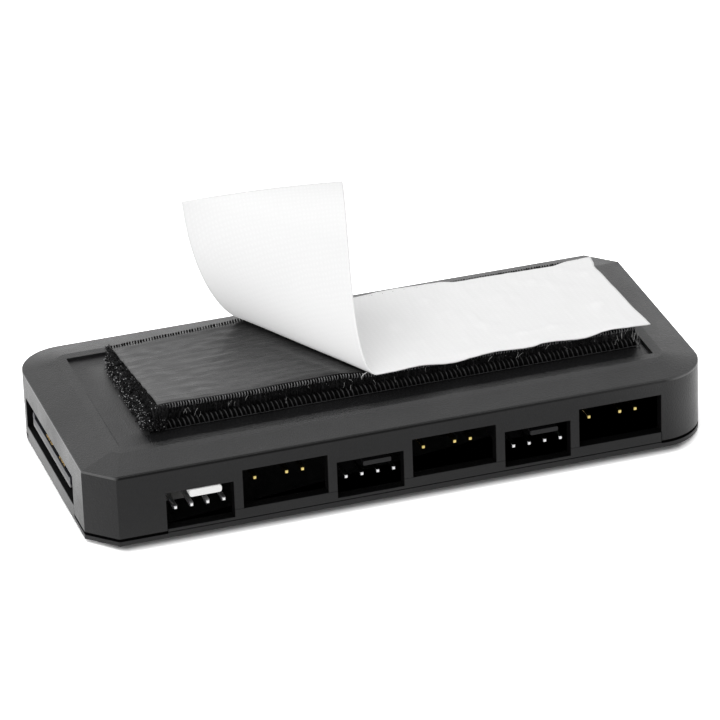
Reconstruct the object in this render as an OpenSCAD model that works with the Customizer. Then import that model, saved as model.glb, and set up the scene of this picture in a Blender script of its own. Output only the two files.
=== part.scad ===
/* [Casing] */
// Width over the port walls
case_w = 46; // [44:0.5:56]
// Thickness of the side walls
wall_t = 1.8; // [1.4:0.1:2.4]
// Thickness of the roof under the tape recess
roof_t = 1.8; // [1.2:0.1:3]
// Leg of the two chamfered corners
corner_chamfer = 4.3; // [3.4:0.1:5.5]
// Radius of the two rounded corners
corner_r = 7.5; // [6:0.1:9]
// Width of the sloping band round the top
bevel_w = 5.5; // [4:0.1:5.8]
// Rise of the sloping band round the top
bevel_h = 1.2; // [0.8:0.1:1.6]
// Flat land between the sloping band and the tape recess
land_w = 1.6; // [0.8:0.1:2.5]
// Depth of the tape recess
recess_d = 0.5; // [0.3:0.1:0.8]
// Room between the board and the roof
roof_room = 1.8; // [1.6:0.1:3]

/* [Cover] */
// Thickness of the cover at its edge
cover_t = 1.3; // [1.1:0.1:2]
// Height of the cover's bottom bevel
cover_bevel_h = 0.6; // [0.3:0.1:0.8]
// Width of the cover's bottom bevel
cover_bevel_w = 2.5; // [1:0.1:3.5]
// Shadow gap between the cover and the casing
seam_gap = 0.5; // [0.3:0.05:0.6]
// Height of the raised wall strips under the ports
strip_h = 1.95; // [1.7:0.05:2.5]
// Height of the sill under a fan port
sill_h = 0.75; // [0.5:0.05:1.2]
// Height of the locating rim
rim_h = 1.6; // [1:0.1:2.5]
// Thickness of the locating rim
rim_t = 1.1; // [0.8:0.1:1.4]
// Width of a snap hook
hook_w = 3.6; // [3:0.1:4.5]
// Height of a snap hook
hook_h = 5.2; // [4:0.1:6]

/* [Ports] */
// Wall between the left end and the first port
left_end = 11.85; // [11:0.05:16]
// Wall between the last port and the right end
right_end = 8.45; // [8:0.05:14]
// Post between neighbouring ports
post_w = 1.42; // [1:0.02:3]
// Width of a fan port
fan_port_w = 10.7; // [10.4:0.1:12]
// Height of a fan port
fan_port_h = 6.15; // [5.4:0.05:6.6]
// Width of a light port
light_port_w = 13.5; // [12:0.1:15]
// Height of a light port above the strip
light_port_h = 6.5; // [6:0.1:7]
// Strip left beyond the last port
end_post = 0.1; // [0:0.1:0.8]
// Play of the supply inlet's moulding in its opening, each side
inlet_play = 0.7; // [0.3:0.1:1]
// Height of the supply inlet's opening above the strip
inlet_port_h = 5; // [4:0.1:5.4]
// Distance of the supply inlet's middle from the centre line
inlet_y = 1.2; // [0:0.1:1.4]

/* [Circuit board] */
// Thickness of the board
board_t = 1.6; // [1:0.1:2]
// Gap between the board's ends and the end walls' outer faces
board_end_gap = 6.1; // [5.8:0.1:7]
// Distance of the fan headers' bases from the port wall's face
header_setback = 6; // [5.5:0.1:6.4]
// Spacing of the header pins
pin_pitch = 2.54; // [2.5:0.01:2.54]
// Side of a header pin
pin_w = 0.64; // [0.5:0.02:0.7]
// Diameter of the bosses that carry the board
boss_d = 4.6; // [4:0.1:5]
// Diameter of the board screws' shanks
screw_d = 2; // [1.6:0.1:2.2]
// Distance of the board screws from the end walls' outer faces
screw_inset = 15; // [14:0.5:18]
// Clearance between a boss and the pins' tails
boss_play = 0.9; // [0.5:0.1:1.5]

/* [Tape and liner] */
// Gap between the tape and the recess's left wall
tape_left = 5.6; // [1:0.1:12]
// Gap between the tape and the recess's right wall
tape_right = 0.7; // [0.4:0.1:8]
// Gap between the tape and the recess's near wall
tape_near = 4.4; // [1:0.1:7]
// Gap between the tape and the recess's far wall
tape_far = 2.4; // [1:0.1:7]
// Thickness of the lower woven band
hook_band_t = 1.2; // [0.8:0.05:1.4]
// Height of the hooks on the lower band
hook_pile_t = 0.65; // [0.4:0.05:1]
// Height of the loops on the upper band
loop_pile_t = 0.6; // [0.4:0.05:1]
// Thickness of the upper woven band
loop_band_t = 0.85; // [0.6:0.05:1.2]
// How far the lower band stands past the upper one at the near side
hook_ledge = 0.5; // [0:0.1:1]
// How much later the upper band starts at its left end
loop_start = 1; // [0:0.1:2]
// Selvage that stays free of pile
selvage = 1; // [0.6:0.1:1.6]
// Thickness of the adhesive film
film_t = 0.25; // [0.1:0.05:0.4]
// Thickness of the release liner
liner_t = 0.2; // [0.1:0.05:0.3]
// Overhang of the liner past the tape's near edge
liner_over = 1.4; // [0.5:0.1:2]

/* [Hidden] */
// Clearance between moulded parts
fit = 0.1;
// Overlap that keeps cuts open
over = 1;
// Thin slab for blended forms
slab = 0.01;
// Segments of a rounded corner
corner_steps = 22;
// Depth of the groove behind the shadow gap
groove_d = 0.6;
casing_z = cover_t + seam_gap;
strip_z = cover_t + strip_h;
sill_z = cover_t + sill_h;
// Fine line that runs along the strips just below the sills
line_w = 0.15;
line_z = sill_z - 4 * line_w;
light_port_z = strip_z + fit / 2;
// Pins sit a little above the middle of a fan port
fan_pin_z = sill_z + fan_port_h / 2 + 0.175;
fan_pin_drop = 2.4;
light_pin_drop = 1.54;
board_z = fan_pin_z + fan_pin_drop;
board_top = board_z + board_t;
ceiling_z = board_top + roof_room;
recess_z = ceiling_z + roof_t;
plateau_z = recess_z + recess_d;
wall_top = plateau_z - bevel_h;
// Ports of one wall, counted from the left: fan, light, fan, light, fan, light
ports = 6;
pair_pitch = fan_port_w + light_port_w + 2 * post_w;
bank_len = ports / 2 * pair_pitch - post_w;
case_len = left_end + bank_len + right_end;
bank_x0 = left_end - case_len / 2;
bank_x1 = bank_x0 + bank_len + end_post;
// Fan header: base block, tab near the third pin, tail behind the base
base_t = 3.2;
base_drop = 4.1;
// Tabs: start, top, width, thickness, shift along the wall, corner radius
input_tab = [-0.15, 0.4, 5.1, 0.85, -0.4, 0.4];
fan_tab = [0.9, -0.6, 4.5, 0.45, 0.1, 0.2];
tab_lip = 0.3;
tail_gap = 1;
tail_up = 1;
fan_tip = 0.3;
board_play = 0.2;
lip_len = 1.1;
lip_flat = 0.4;
hole_d = 1.1;
// Light header: block deeper in the port, one place of four left empty
block_setback = 9.5;
block_t = 2.5;
block_drop = 2.8;
light_tip = 3.55;
light_places = [0, 2, 3];
notch_d = 0.9;
pin_play = 0.03;
// Supply inlet: fifteen contacts on a blade with a keyed end
blade_front = 0.5;
blade_t = 1.6;
blade_end = 1.78;
blade_drop = 3.3;
blade_shift = 0.65;
row_shift = -0.7;
blade_round = 0.4;
body_end = 2.1;
inlet_body_t = 3.9;
inlet_body_drop = 3.9;
contact_pitch = 1.27;
contacts = 15;
contact_w = 0.9;
contact_t = 0.15;
contact_row = (contacts - 1) * contact_pitch + contact_w;
blade_w = contact_row + 2 * blade_end;
inlet_body_w = blade_w + 2 * body_end;
inlet_port_w = inlet_body_w + 2 * inlet_play;
inlet_y0 = inlet_y - inlet_port_w / 2;
// Ground contacts start first, the others later
first_mate = 0.3;
late_mate = 1.4;
foot_len = 0.6;
key_w = 1;
key_h = 2.4;
rib_w = 0.4;
rib_up = 1.9;
// Snap hooks stand beside the banks and at the blind end
hook_t = 1;
barb = 0.5;
barb_h = 1;
hook_end_y = 8;
hook_side = 3.6;
hook_lead = 0.3;
// What the board carries, spaced evenly between the screws
controller_w = 7;
controller_h = 1.4;
dimple_d = 0.8;
dimple_at = 2.7;
leg_len = 1;
leg_w = 0.3;
leg_t = 0.25;
leg_pitch = 0.8;
regulator_l = 6.5;
regulator_w = 6;
regulator_h = 2.3;
tag_t = 0.5;
tag_l = 0.7;
tag_w = 5.2;
lead_l = 1.6;
lead_w = 0.8;
lead_y = 2.3;
switch_l = 4;
switch_w = 4.9;
switch_h = 1.5;
switch_pitch = 1.27;
cap_d = 5;
cap_h = 3.6;
cap_base = 5.2;
cap_base_t = 0.8;
small_l = 1.6;
small_w = 0.8;
small_h = 0.6;
small_pitch = 3.5;
small_gap = 1;
// Liner: flat to the fold line, then a ruled sheet between two curved edges
liner_end = 1.1;
liner_back = 0.1;
fold_near = 35.3;
fold_far = 21.4;
// How each edge leaves the fold, where it bulges and where it ends
near_start = 4.3;
near_bulge = [-1, 8.7, 23.5];
near_tip = [2.9, 24.3, 21.6];
far_start = 1.5;
far_bulge = [-7.8, -1, 6.2];
far_tip = [-6.6, 7.9, 17.8];
pile_inset = 0.4;
curl_steps = 18;
curl_across = 6;

function port_x(i) =
    bank_x0 + floor(i / 2) * pair_pitch
    + (i % 2 == 0 ? fan_port_w / 2 : fan_port_w + post_w + light_port_w / 2);
function place_x(k) = (k - 1.5) * pin_pitch;
function arc(cx, cy, r, a0) =
    [for (k = [0:corner_steps]) let (a = a0 + 90 * k / corner_steps)
        [cx + r * cos(a), cy + r * sin(a)]];
function turned(pts) = [for (p = pts) [-p[0], -p[1]]];
// Half of the outline: chamfered near-left corner, rounded near-right corner
function half_outline(inset) =
    let (x = case_len / 2 - inset, y = case_w / 2 - inset,
         c = corner_chamfer - inset * (2 - sqrt(2)), r = corner_r - inset)
    concat([[-x, c - y], [c - x, -y]], arc(x - r, r - y, r, -90));

module outline(inset = 0) {
    pts = half_outline(inset);
    polygon(concat(pts, turned(pts)));
}

module prism(z0, z1, inset = 0) {
    translate([0, 0, z0])
        linear_extrude(z1 - z0)
            outline(inset);
}

module box(x0, x1, y0, y1, z0, z1) {
    translate([x0, y0, z0])
        cube([x1 - x0, y1 - y0, z1 - z0]);
}

// Both long sides carry the same bank, turned half round
module both_sides() {
    children();
    rotate([0, 0, 180])
        children();
}

// Local frame of a port: y runs inward from the wall's face, z = 0 under the board
module at_port(side, i) {
    rotate([0, 0, side * 180])
        translate([port_x(i), -case_w / 2, board_z])
            children();
}

module rounded_rect(w, h, r) {
    for (s = [-1, 1]) {
        translate([s * (w / 2 - r), h - r])
            circle(r, $fn = 24);
        translate([s * (w / 2 - r), r])
            circle(r, $fn = 24);
    }
    translate([-w / 2, r])
        square([w, h - 2 * r]);
    translate([r - w / 2, 0])
        square([w - 2 * r, h]);
}

// Snap hook seen along its wall: arm with a barb at its head
module hook_profile() {
    polygon([[0, 0], [hook_t, 0], [hook_t, hook_h], [hook_lead, hook_h],
             [-barb, hook_h - barb_h], [0, hook_h - barb_h]]);
}

// Places of the snap hooks: x, y and turn of the inner wall face
function hook_places() =
    [[bank_x0 - hook_side, wall_t - case_w / 2, 0],
     [hook_side - bank_x0, case_w / 2 - wall_t, 180],
     [case_len / 2 - wall_t, -hook_end_y, 90],
     [case_len / 2 - wall_t, hook_end_y, 90]];

module at_hooks() {
    for (h = hook_places())
        translate([h[0], h[1], cover_t])
            rotate([0, 0, h[2]])
                children();
}

module port_openings() {
    for (i = [0:ports - 1]) {
        w = i % 2 == 0 ? fan_port_w : light_port_w;
        top = i % 2 == 0 ? sill_z + fan_port_h : light_port_z + light_port_h;
        box(port_x(i) - w / 2, port_x(i) + w / 2, -case_w / 2 - over,
            wall_t + over - case_w / 2, sill_z, top);
    }
}

module strip_notch() {
    box(bank_x0, bank_x1, -case_w / 2 - over,
        wall_t + over - case_w / 2, 0, strip_z + fit / 2);
}

module inlet_opening() {
    box(-case_len / 2 - over, wall_t + over - case_len / 2,
        inlet_y0, inlet_y0 + inlet_port_w, 0, light_port_z + inlet_port_h);
}

module casing_form() {
    prism(casing_z, wall_top);
    hull() {
        prism(wall_top - slab, wall_top);
        prism(plateau_z - slab, plateau_z, bevel_w);
    }
}

recess_x = case_len / 2 - bevel_w - land_w;
recess_y = case_w / 2 - bevel_w - land_w;

module tape_recess() {
    box(-recess_x, recess_x, -recess_y, recess_y, recess_z, plateau_z + over);
}

fan_tail = header_setback + base_t + tail_gap;
light_tail = block_setback + block_t + tail_gap;
screw_x = case_len / 2 - screw_inset;
screw_y = case_w / 2 - light_tail - (hole_d + boss_d) / 2 - boss_play;

module at_screws() {
    for (sx = [-1, 1], sy = [-1, 1])
        translate([sx * screw_x, sy * screw_y, 0])
            children();
}

module casing() {
    color("#3b3b3c")
        difference() {
            union() {
                difference() {
                    union() {
                        casing_form();
                        prism(cover_t, casing_z + slab, groove_d);
                    }
                    prism(cover_t - over, ceiling_z, wall_t);
                }
                at_screws()
                    translate([0, 0, board_top])
                        cylinder(h = roof_room + slab, d = boss_d, $fn = 40);
            }
            tape_recess();
            both_sides() {
                port_openings();
                strip_notch();
            }
            inlet_opening();
            at_screws()
                translate([0, 0, board_top - over])
                    cylinder(h = over + roof_room + roof_t / 2, d = screw_d, $fn = 32);
            at_hooks()
                box(-hook_w / 2 - fit, hook_w / 2 + fit, -barb - fit, over,
                    hook_h - barb_h - fit, hook_h + fit);
        }
}

module cover_strips() {
    both_sides()
        difference() {
            box(bank_x0 + fit, bank_x1 - fit, -case_w / 2,
                wall_t - case_w / 2, cover_t, strip_z);
            box(bank_x0, bank_x1, -case_w / 2 - over,
                line_w - case_w / 2, line_z, line_z + line_w);
            for (i = [0:2:ports - 1])
                box(port_x(i) - fan_port_w / 2, port_x(i) + fan_port_w / 2,
                    -case_w / 2 - over, wall_t + over - case_w / 2, sill_z, strip_z + over);
        }
    box(-case_len / 2, wall_t - case_len / 2, inlet_y0 + fit,
        inlet_y0 + inlet_port_w - fit, cover_t, strip_z);
}

module locating_rim() {
    difference() {
        prism(cover_t, cover_t + rim_h, wall_t + fit);
        prism(0, cover_t + rim_h + over, wall_t + fit + rim_t);
        both_sides()
            box(bank_x0 - fit, bank_x1 + fit, -case_w / 2,
                wall_t + fit + rim_t + over - case_w / 2, 0, board_z);
        box(-case_len / 2, wall_t + fit + rim_t + over - case_len / 2,
            inlet_y0 - fit, inlet_y0 + inlet_port_w + fit, 0, board_z);
        at_hooks()
            box(-hook_w / 2 - 2 * fit, hook_w / 2 + 2 * fit, 0, hook_t + over, -over, hook_h);
    }
}

module cover() {
    color("#38383a") {
        difference() {
            hull() {
                prism(0, slab, cover_bevel_w);
                prism(cover_bevel_h, cover_bevel_h + slab);
            }
            prism(cover_bevel_h, cover_bevel_h + over);
        }
        prism(cover_bevel_h, cover_t);
        cover_strips();
        locating_rim();
        at_hooks()
            translate([-hook_w / 2, fit, 0])
                rotate([90, 0, 90])
                    linear_extrude(hook_w)
                        hook_profile();
    }
}

module tail_holes(setback, places) {
    for (k = places)
        translate([place_x(k), setback, -over])
            cylinder(h = board_t + 2 * over, d = hole_d, $fn = 24);
}

module circuit_board() {
    x = case_len / 2 - board_end_gap;
    y = case_w / 2 - header_setback - board_play;
    color("#1d2620")
        difference() {
            box(-x, x, -y, y, board_z, board_top);
            for (side = [0, 1], i = [0:2:ports - 1])
                at_port(side, i)
                    tail_holes(fan_tail, [0:3]);
            for (side = [0, 1], i = [1:2:ports - 1])
                at_port(side, i)
                    tail_holes(light_tail, light_places);
            at_screws()
                translate([0, 0, board_z - over])
                    cylinder(h = board_t + 2 * over, d = screw_d + 4 * fit, $fn = 32);
        }
}

// One bent pin: shaft along y at depth drop, tail up through the board
module pin(tip, tail, drop) {
    h = pin_w / 2;
    c = pin_w / 4;
    up = board_t + tail_up;
    intersection() {
        translate([-h, 0, 0])
            rotate([90, 0, 90])
                linear_extrude(pin_w)
                    polygon([[tip, c - h - drop], [tip + 2 * c, -h - drop],
                             [tail, -h - drop], [tail + h, -drop], [tail + h, up],
                             [tail - h, up], [tail - h, h - drop],
                             [tip + 2 * c, h - drop], [tip, h - c - drop]]);
        translate([0, 0, -drop - over])
            linear_extrude(drop + up + 2 * over)
                polygon([[c - h, tip], [h - c, tip], [h, tip + 2 * c],
                         [h, tail + over], [-h, tail + over], [-h, tip + 2 * c]]);
    }
}

module pin_channels(y0, y1, drop, places) {
    s = pin_w / 2 + pin_play;
    for (k = places)
        box(place_x(k) - s, place_x(k) + s, y0 - over, y1 + over, -drop - s, s - drop);
}

// Friction tab: thin shelf with a lip at its front, rounded at the front corners
module lock_tab(tab) {
    reach = tab[0];
    top = tab[1];
    lip_top = top - tab[3];
    middle = place_x(2) + tab[4];
    intersection() {
        translate([middle - tab[2] / 2, 0, 0])
            rotate([90, 0, 90])
                linear_extrude(tab[2])
                    polygon([[reach, top], [reach, lip_top - tab_lip],
                             [reach + lip_flat, lip_top - tab_lip],
                             [reach + lip_len, lip_top],
                             [header_setback, lip_top], [header_setback, top]]);
        translate([middle, header_setback, lip_top - tab_lip])
            rotate([90, 0, 0])
                linear_extrude(header_setback - reach)
                    rounded_rect(tab[2], tab[3] + tab_lip, tab[5]);
    }
}

module fan_header(side, i, tab, tint) {
    w = 4 * pin_pitch;
    color(tint)
        at_port(side, i) {
            difference() {
                box(-w / 2, w / 2, header_setback, header_setback + base_t, -base_drop, 0);
                pin_channels(header_setback, header_setback + base_t, fan_pin_drop, [0:3]);
            }
            lock_tab(tab);
        }
}

module fan_pins(side, i) {
    color("#d8dadd")
        at_port(side, i)
            for (k = [0:3])
                translate([place_x(k), 0, 0])
                    pin(fan_tip, fan_tail, fan_pin_drop);
}

module light_header(side, i) {
    w = 4 * pin_pitch;
    color("#19191a")
        at_port(side, i)
            difference() {
                box(-w / 2, w / 2, block_setback, block_setback + block_t, -block_drop, 0);
                pin_channels(block_setback, block_setback + block_t,
                             light_pin_drop, light_places);
                for (k = [0.5:1:2.5])
                    translate([place_x(k), block_setback - over, -block_drop])
                        rotate([-90, 45, 0])
                            cylinder(h = block_t + 2 * over, d = notch_d, $fn = 4);
            }
}

module light_pins(side, i) {
    color("#d9b45a")
        at_port(side, i)
            for (k = light_places)
                translate([place_x(k), 0, 0])
                    pin(light_tip, light_tail, light_pin_drop);
}

// Supply inlet in its own frame: x inward from the end wall's face, y from its middle
module at_inlet() {
    translate([-case_len / 2, inlet_y, board_z])
        children();
}

function contact_y(k) = row_shift + (k - (contacts - 1) / 2) * contact_pitch;
// Ground contacts reach further forward than the others
function contact_tip(k) =
    blade_front + ((k >= 3 && k <= 5) || (k >= 9 && k <= 11) ? first_mate : late_mate);

module contact_form(k, play) {
    top = blade_t - blade_drop + contact_t;
    back = board_end_gap + inlet_body_t;
    translate([0, contact_y(k) + contact_w / 2 + play, 0])
        rotate([90, 0, 0])
            linear_extrude(contact_w + 2 * play)
                polygon([[contact_tip(k), top - contact_t - play],
                         [back + contact_t + play, top - contact_t - play],
                         [back + contact_t + play, -contact_t - play],
                         [back + foot_len, -contact_t - play], [back + foot_len, 0],
                         [back, 0],
                         [back, top + play], [contact_tip(k), top + play]]);
}

// Front view of the blade: bar with its far end turned up and a low rib at the near end
module blade_profile() {
    translate([blade_shift, 0])
        rounded_rect(blade_w, blade_t, blade_round);
    translate([blade_shift + (blade_w - key_w) / 2, 0])
        rounded_rect(key_w, key_h, blade_round);
    translate([blade_shift - (blade_w - rib_w) / 2, blade_round])
        rounded_rect(rib_w, rib_up - blade_round, rib_w / 2 - slab);
}

module power_housing() {
    body_x = board_end_gap;
    color("#242425")
        at_inlet() {
            difference() {
                union() {
                    box(body_x, body_x + inlet_body_t, -inlet_body_w / 2,
                        inlet_body_w / 2, -inlet_body_drop, 0);
                    translate([blade_front, 0, -blade_drop])
                        rotate([90, 0, 90])
                            linear_extrude(body_x + slab - blade_front)
                                blade_profile();
                }
                for (k = [0:contacts - 1])
                    intersection() {
                        contact_form(k, pin_play);
                        box(body_x, body_x + inlet_body_t + over, -inlet_body_w,
                            inlet_body_w, -inlet_body_drop, over);
                    }
            }
        }
}

module power_contacts() {
    color("#d9b45a")
        at_inlet()
            for (k = [0:contacts - 1])
                contact_form(k, 0);
}

screw_head_h = 1.4;
slot_l = 2.2;
slot_w = 0.4;
slot_d = 0.6;

module board_screws() {
    color("#b9bcc0")
        at_screws()
            translate([0, 0, board_z]) {
                difference() {
                    translate([0, 0, -screw_head_h])
                        cylinder(h = screw_head_h, d = 2 * screw_d, $fn = 40);
                    for (a = [0, 90])
                        rotate([0, 0, a])
                            box(-slot_l / 2, slot_l / 2, -slot_w / 2, slot_w / 2,
                                -screw_head_h - over, slot_d - screw_head_h);
                }
                translate([0, 0, -slab])
                    cylinder(h = board_t + roof_room + slab, d = screw_d - fit, $fn = 32);
            }
}

// Row of parts along the middle of the board's underside, in steps from the centre
row_end = screw_x - screw_d - cap_base / 2 - 2 * fit - small_gap;
function row_x(k) = k * row_end / 4;

module chip(x, y, w, l, h) {
    box(x - w / 2, x + w / 2, y - l / 2, y + l / 2, board_z - h, board_z);
}

module legs(x, w, count, pitch) {
    for (s = [-1, 1], k = [0:count - 1])
        chip(x + s * (w + leg_len) / 2, (k - (count - 1) / 2) * pitch, leg_len, leg_w, leg_t);
}

module controller_chip() {
    color("#202022") {
        difference() {
            chip(0, 0, controller_w, controller_w, controller_h);
            translate([-dimple_at, -dimple_at, board_z - controller_h - over])
                cylinder(h = over + fit, d = dimple_d, $fn = 24);
        }
        legs(0, controller_w, 8, leg_pitch);
    }
}

module regulator() {
    x = row_x(-2.75);
    color("#202022") {
        chip(x, 0, regulator_l, regulator_w, regulator_h);
        chip(x - (regulator_l + tag_l) / 2, 0, tag_l, tag_w, tag_t);
        for (s = [-1, 1])
            chip(x + (regulator_l + lead_l) / 2, s * lead_y, lead_l, lead_w, tag_t);
    }
}

module power_switches() {
    color("#202022")
        for (k = [1.4, 2.5]) {
            chip(row_x(k), 0, switch_l, switch_w, switch_h);
            legs(row_x(k), switch_l, 4, switch_pitch);
        }
}

module capacitors() {
    color("#c9ccd0")
        for (k = [-4, -1.55, 4]) {
            chip(row_x(k), 0, cap_base, cap_base, cap_base_t);
            translate([row_x(k), 0, board_z - cap_base_t - cap_h])
                cylinder(h = cap_h, d = cap_d, $fn = 40);
        }
}

module small_chips() {
    y = (controller_w + small_w) / 2 + small_gap;
    color("#8a7a5c")
        for (k = [-1.5:1:1.5], s = [-1, 1])
            chip(k * small_pitch, s * y, small_l, small_w, small_h);
}

hook_pile_z = recess_z + hook_band_t;
loop_pile_z = hook_pile_z + hook_pile_t;
loop_band_z = loop_pile_z + loop_pile_t;
film_z = loop_band_z + loop_band_t;
film_top = film_z + film_t;
tape_x0 = tape_left - recess_x;
tape_x1 = recess_x - tape_right;
tape_y0 = tape_near - recess_y;
tape_y1 = recess_y - tape_far;
loop_x0 = tape_x0 + loop_start;

module hook_tape() {
    color("#161617") {
        box(tape_x0, tape_x1, tape_y0 - hook_ledge, tape_y1, recess_z, hook_pile_z);
        box(tape_x0 + pile_inset, tape_x1 - pile_inset, tape_y0 + selvage,
            tape_y1 - selvage, hook_pile_z, loop_pile_z);
    }
}

module loop_tape() {
    color("#1c1c1d") {
        box(loop_x0 + pile_inset, tape_x1 - pile_inset, tape_y0 + selvage,
            tape_y1 - selvage, loop_pile_z, loop_band_z);
        box(loop_x0, tape_x1, tape_y0, tape_y1, loop_band_z, film_z);
    }
}

module adhesive_film() {
    color("#2b2b2c")
        box(loop_x0, tape_x1, tape_y0, tape_y1, film_z, film_top);
}

// Cubic curve through its first and last point
function curve(p, t) =
    pow(1 - t, 3) * p[0] + 3 * pow(1 - t, 2) * t * p[1]
    + 3 * (1 - t) * t * t * p[2] + pow(t, 3) * p[3];
liner_x1 = tape_x1 + liner_end;
liner_y0 = tape_y0 - liner_over;
liner_y1 = tape_y1 + liner_back;
near_root = [loop_x0 + fold_near, liner_y0, film_top];
far_root = [loop_x0 + fold_far, liner_y1, film_top];
near_edge = [near_root, near_root - [near_start, 0, 0],
             near_root + near_bulge, near_root + near_tip];
far_edge = [far_root, far_root - [far_start, 0, 0],
            far_root + far_bulge, far_root + far_tip];

function sheet(t, v) = (1 - v) * curve(near_edge, t) + v * curve(far_edge, t);
function unit(p) = p / norm(p);
function sheet_normal(t, v) =
    let (d = 0.001, u = max(t, d))
    unit(cross(sheet(u, 0) - sheet(u, 1), sheet(u + d, v) - sheet(u - d, v)));
function liner_point(i, v, lift) =
    i == 0 ? [liner_x1, liner_y0 + v * (liner_y1 - liner_y0), film_top + lift]
    : i == 1 ? sheet(0, v) + [0, 0, lift]
    : let (t = (i - 1) / curl_steps) sheet(t, v) + lift * sheet_normal(t, v);

module release_liner() {
    rows = curl_steps + 2;
    cols = curl_across + 1;
    pts = [for (lift = [0, liner_t], i = [0:rows - 1], j = [0:cols - 1])
        liner_point(i, j / curl_across, lift)];
    top = rows * cols;
    quads = [for (i = [0:rows - 2], j = [0:cols - 2]) let (a = i * cols + j)
        [a, a + 1, a + cols + 1, a + cols]];
    faces = concat(
        [for (q = quads) each [[q[0], q[1], q[2]], [q[0], q[2], q[3]]]],
        [for (q = quads) each [[top + q[2], top + q[1], top + q[0]],
                               [top + q[3], top + q[2], top + q[0]]]],
        [for (i = [0:rows - 2]) let (a = i * cols)
            each [[a, a + cols, top + a + cols], [a, top + a + cols, top + a]]],
        [for (i = [0:rows - 2]) let (a = i * cols + cols - 1)
            each [[top + a + cols, a + cols, a], [top + a, top + a + cols, a]]],
        [for (j = [0:cols - 2]) each [[j, top + j, top + j + 1], [j, top + j + 1, j + 1]]],
        [for (j = [0:cols - 2]) let (a = (rows - 1) * cols + j)
            each [[top + a + 1, top + a, a], [a + 1, top + a + 1, a]]]);
    color("#f4f4f2")
        polyhedron(pts, faces);
}

// The mainboard's own fan header is the one moulded in white
module fan_header_n(n) {
    side = n > 3 ? 1 : 0;
    i = 2 * ((n - 1) % 3);
    if (n == 1)
        fan_header(side, i, input_tab, "#efeeea");
    else
        fan_header(side, i, fan_tab, "#1b1b1c");
}

casing();
cover();
circuit_board();
for (n = [1:6]) {
    side = n > 3 ? 1 : 0;
    place = 2 * ((n - 1) % 3);
    fan_header_n(n);
    fan_pins(side, place);
    light_header(side, place + 1);
    light_pins(side, place + 1);
}
power_housing();
power_contacts();
board_screws();
controller_chip();
regulator();
power_switches();
capacitors();
small_chips();
hook_tape();
loop_tape();
adhesive_film();
release_liner();
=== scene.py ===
import math
import random
import bpy
from mathutils import Matrix, Vector, noise


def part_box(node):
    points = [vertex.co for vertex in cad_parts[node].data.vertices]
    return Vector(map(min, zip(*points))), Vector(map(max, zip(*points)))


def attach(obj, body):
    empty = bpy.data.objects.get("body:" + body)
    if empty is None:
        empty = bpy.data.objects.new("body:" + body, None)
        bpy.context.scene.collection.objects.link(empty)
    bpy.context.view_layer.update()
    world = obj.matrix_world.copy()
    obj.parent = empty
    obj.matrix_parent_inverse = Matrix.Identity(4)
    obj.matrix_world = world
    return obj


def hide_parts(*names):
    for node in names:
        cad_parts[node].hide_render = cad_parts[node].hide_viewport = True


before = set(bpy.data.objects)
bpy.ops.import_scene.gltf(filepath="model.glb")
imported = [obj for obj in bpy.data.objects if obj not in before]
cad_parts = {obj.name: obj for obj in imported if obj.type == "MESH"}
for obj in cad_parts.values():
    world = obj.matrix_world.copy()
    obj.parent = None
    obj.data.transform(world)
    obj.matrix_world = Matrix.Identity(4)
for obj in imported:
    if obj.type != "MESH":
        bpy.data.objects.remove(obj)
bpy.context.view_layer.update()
mm = 0.001  # every length below is in millimetres unless it says otherwise

# Camera at the photograph's angle
camera = {"place": (-210.245, -690.956, 381.616), "yaw": -16.938, "pitch": -27.059,
          "roll": -2.096, "lens": 260.25, "sensor": 36, "clip": (0.05, 20)}  # clip in metres


def makeCamera(values):
    yaw, pitch, roll = (math.radians(values[k]) for k in ("yaw", "pitch", "roll"))
    ahead = Vector((-math.sin(yaw) * math.cos(pitch), math.cos(yaw) * math.cos(pitch),
                    math.sin(pitch)))
    right = ahead.cross(Vector((0, 0, 1))).normalized()
    up = right.cross(ahead)
    turnedRight = right * math.cos(roll) + up * math.sin(roll)
    turnedUp = up * math.cos(roll) - right * math.sin(roll)
    data = bpy.data.cameras.new("photoCamera")
    data.lens, data.sensor_width, data.sensor_fit = values["lens"], values["sensor"], "HORIZONTAL"
    data.clip_start, data.clip_end = values["clip"]
    lookout = bpy.data.objects.new("photoCamera", data)
    turn = Matrix((turnedRight, turnedUp, -ahead)).transposed().to_4x4()
    lookout.matrix_world = Matrix.Translation(Vector(values["place"]) * mm) @ turn
    bpy.context.scene.collection.objects.link(lookout)
    bpy.context.scene.camera = lookout


makeCamera(camera)
print("camera placed")

# Small helpers for node trees
noiseSpan = (0.3, 0.7)  # where most values of a noise lie
black, white = (0, 0, 0), (1, 1, 1)


def four(shade):
    return tuple(shade) + (1,) * (4 - len(shade))


def feed(node, inputs):
    # each value is a number, a colour or the output of another node
    for slot, value in dict(inputs).items():
        socket = node.inputs[slot]
        if isinstance(value, (int, float)):
            socket.default_value = value
        elif isinstance(value, (tuple, list)):
            socket.default_value = four(value)
        else:
            node.id_data.links.new(value, socket)


def makeNode(tree, kind, inputs=(), **settings):
    node = tree.nodes.new("ShaderNode" + kind)
    for label, value in settings.items():
        setattr(node, label, value)
    feed(node, inputs)
    return node


def spaced(values):
    return {label.replace("_", " "): value for label, value in values.items()}


def mathNode(task, *values):
    # one value at least is an output, which knows its tree
    tree = next(v.id_data for v in values if not isinstance(v, (int, float)))
    return makeNode(tree, "Math", enumerate(values), operation=task).outputs[0]


def times(first, *others):
    for other in others:
        first = mathNode("MULTIPLY", first, other)
    return first


def plus(first, second):
    return mathNode("ADD", first, second)


def minus(first, second):
    return mathNode("SUBTRACT", first, second)


def absolute(value):
    return mathNode("ABSOLUTE", value)


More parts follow.
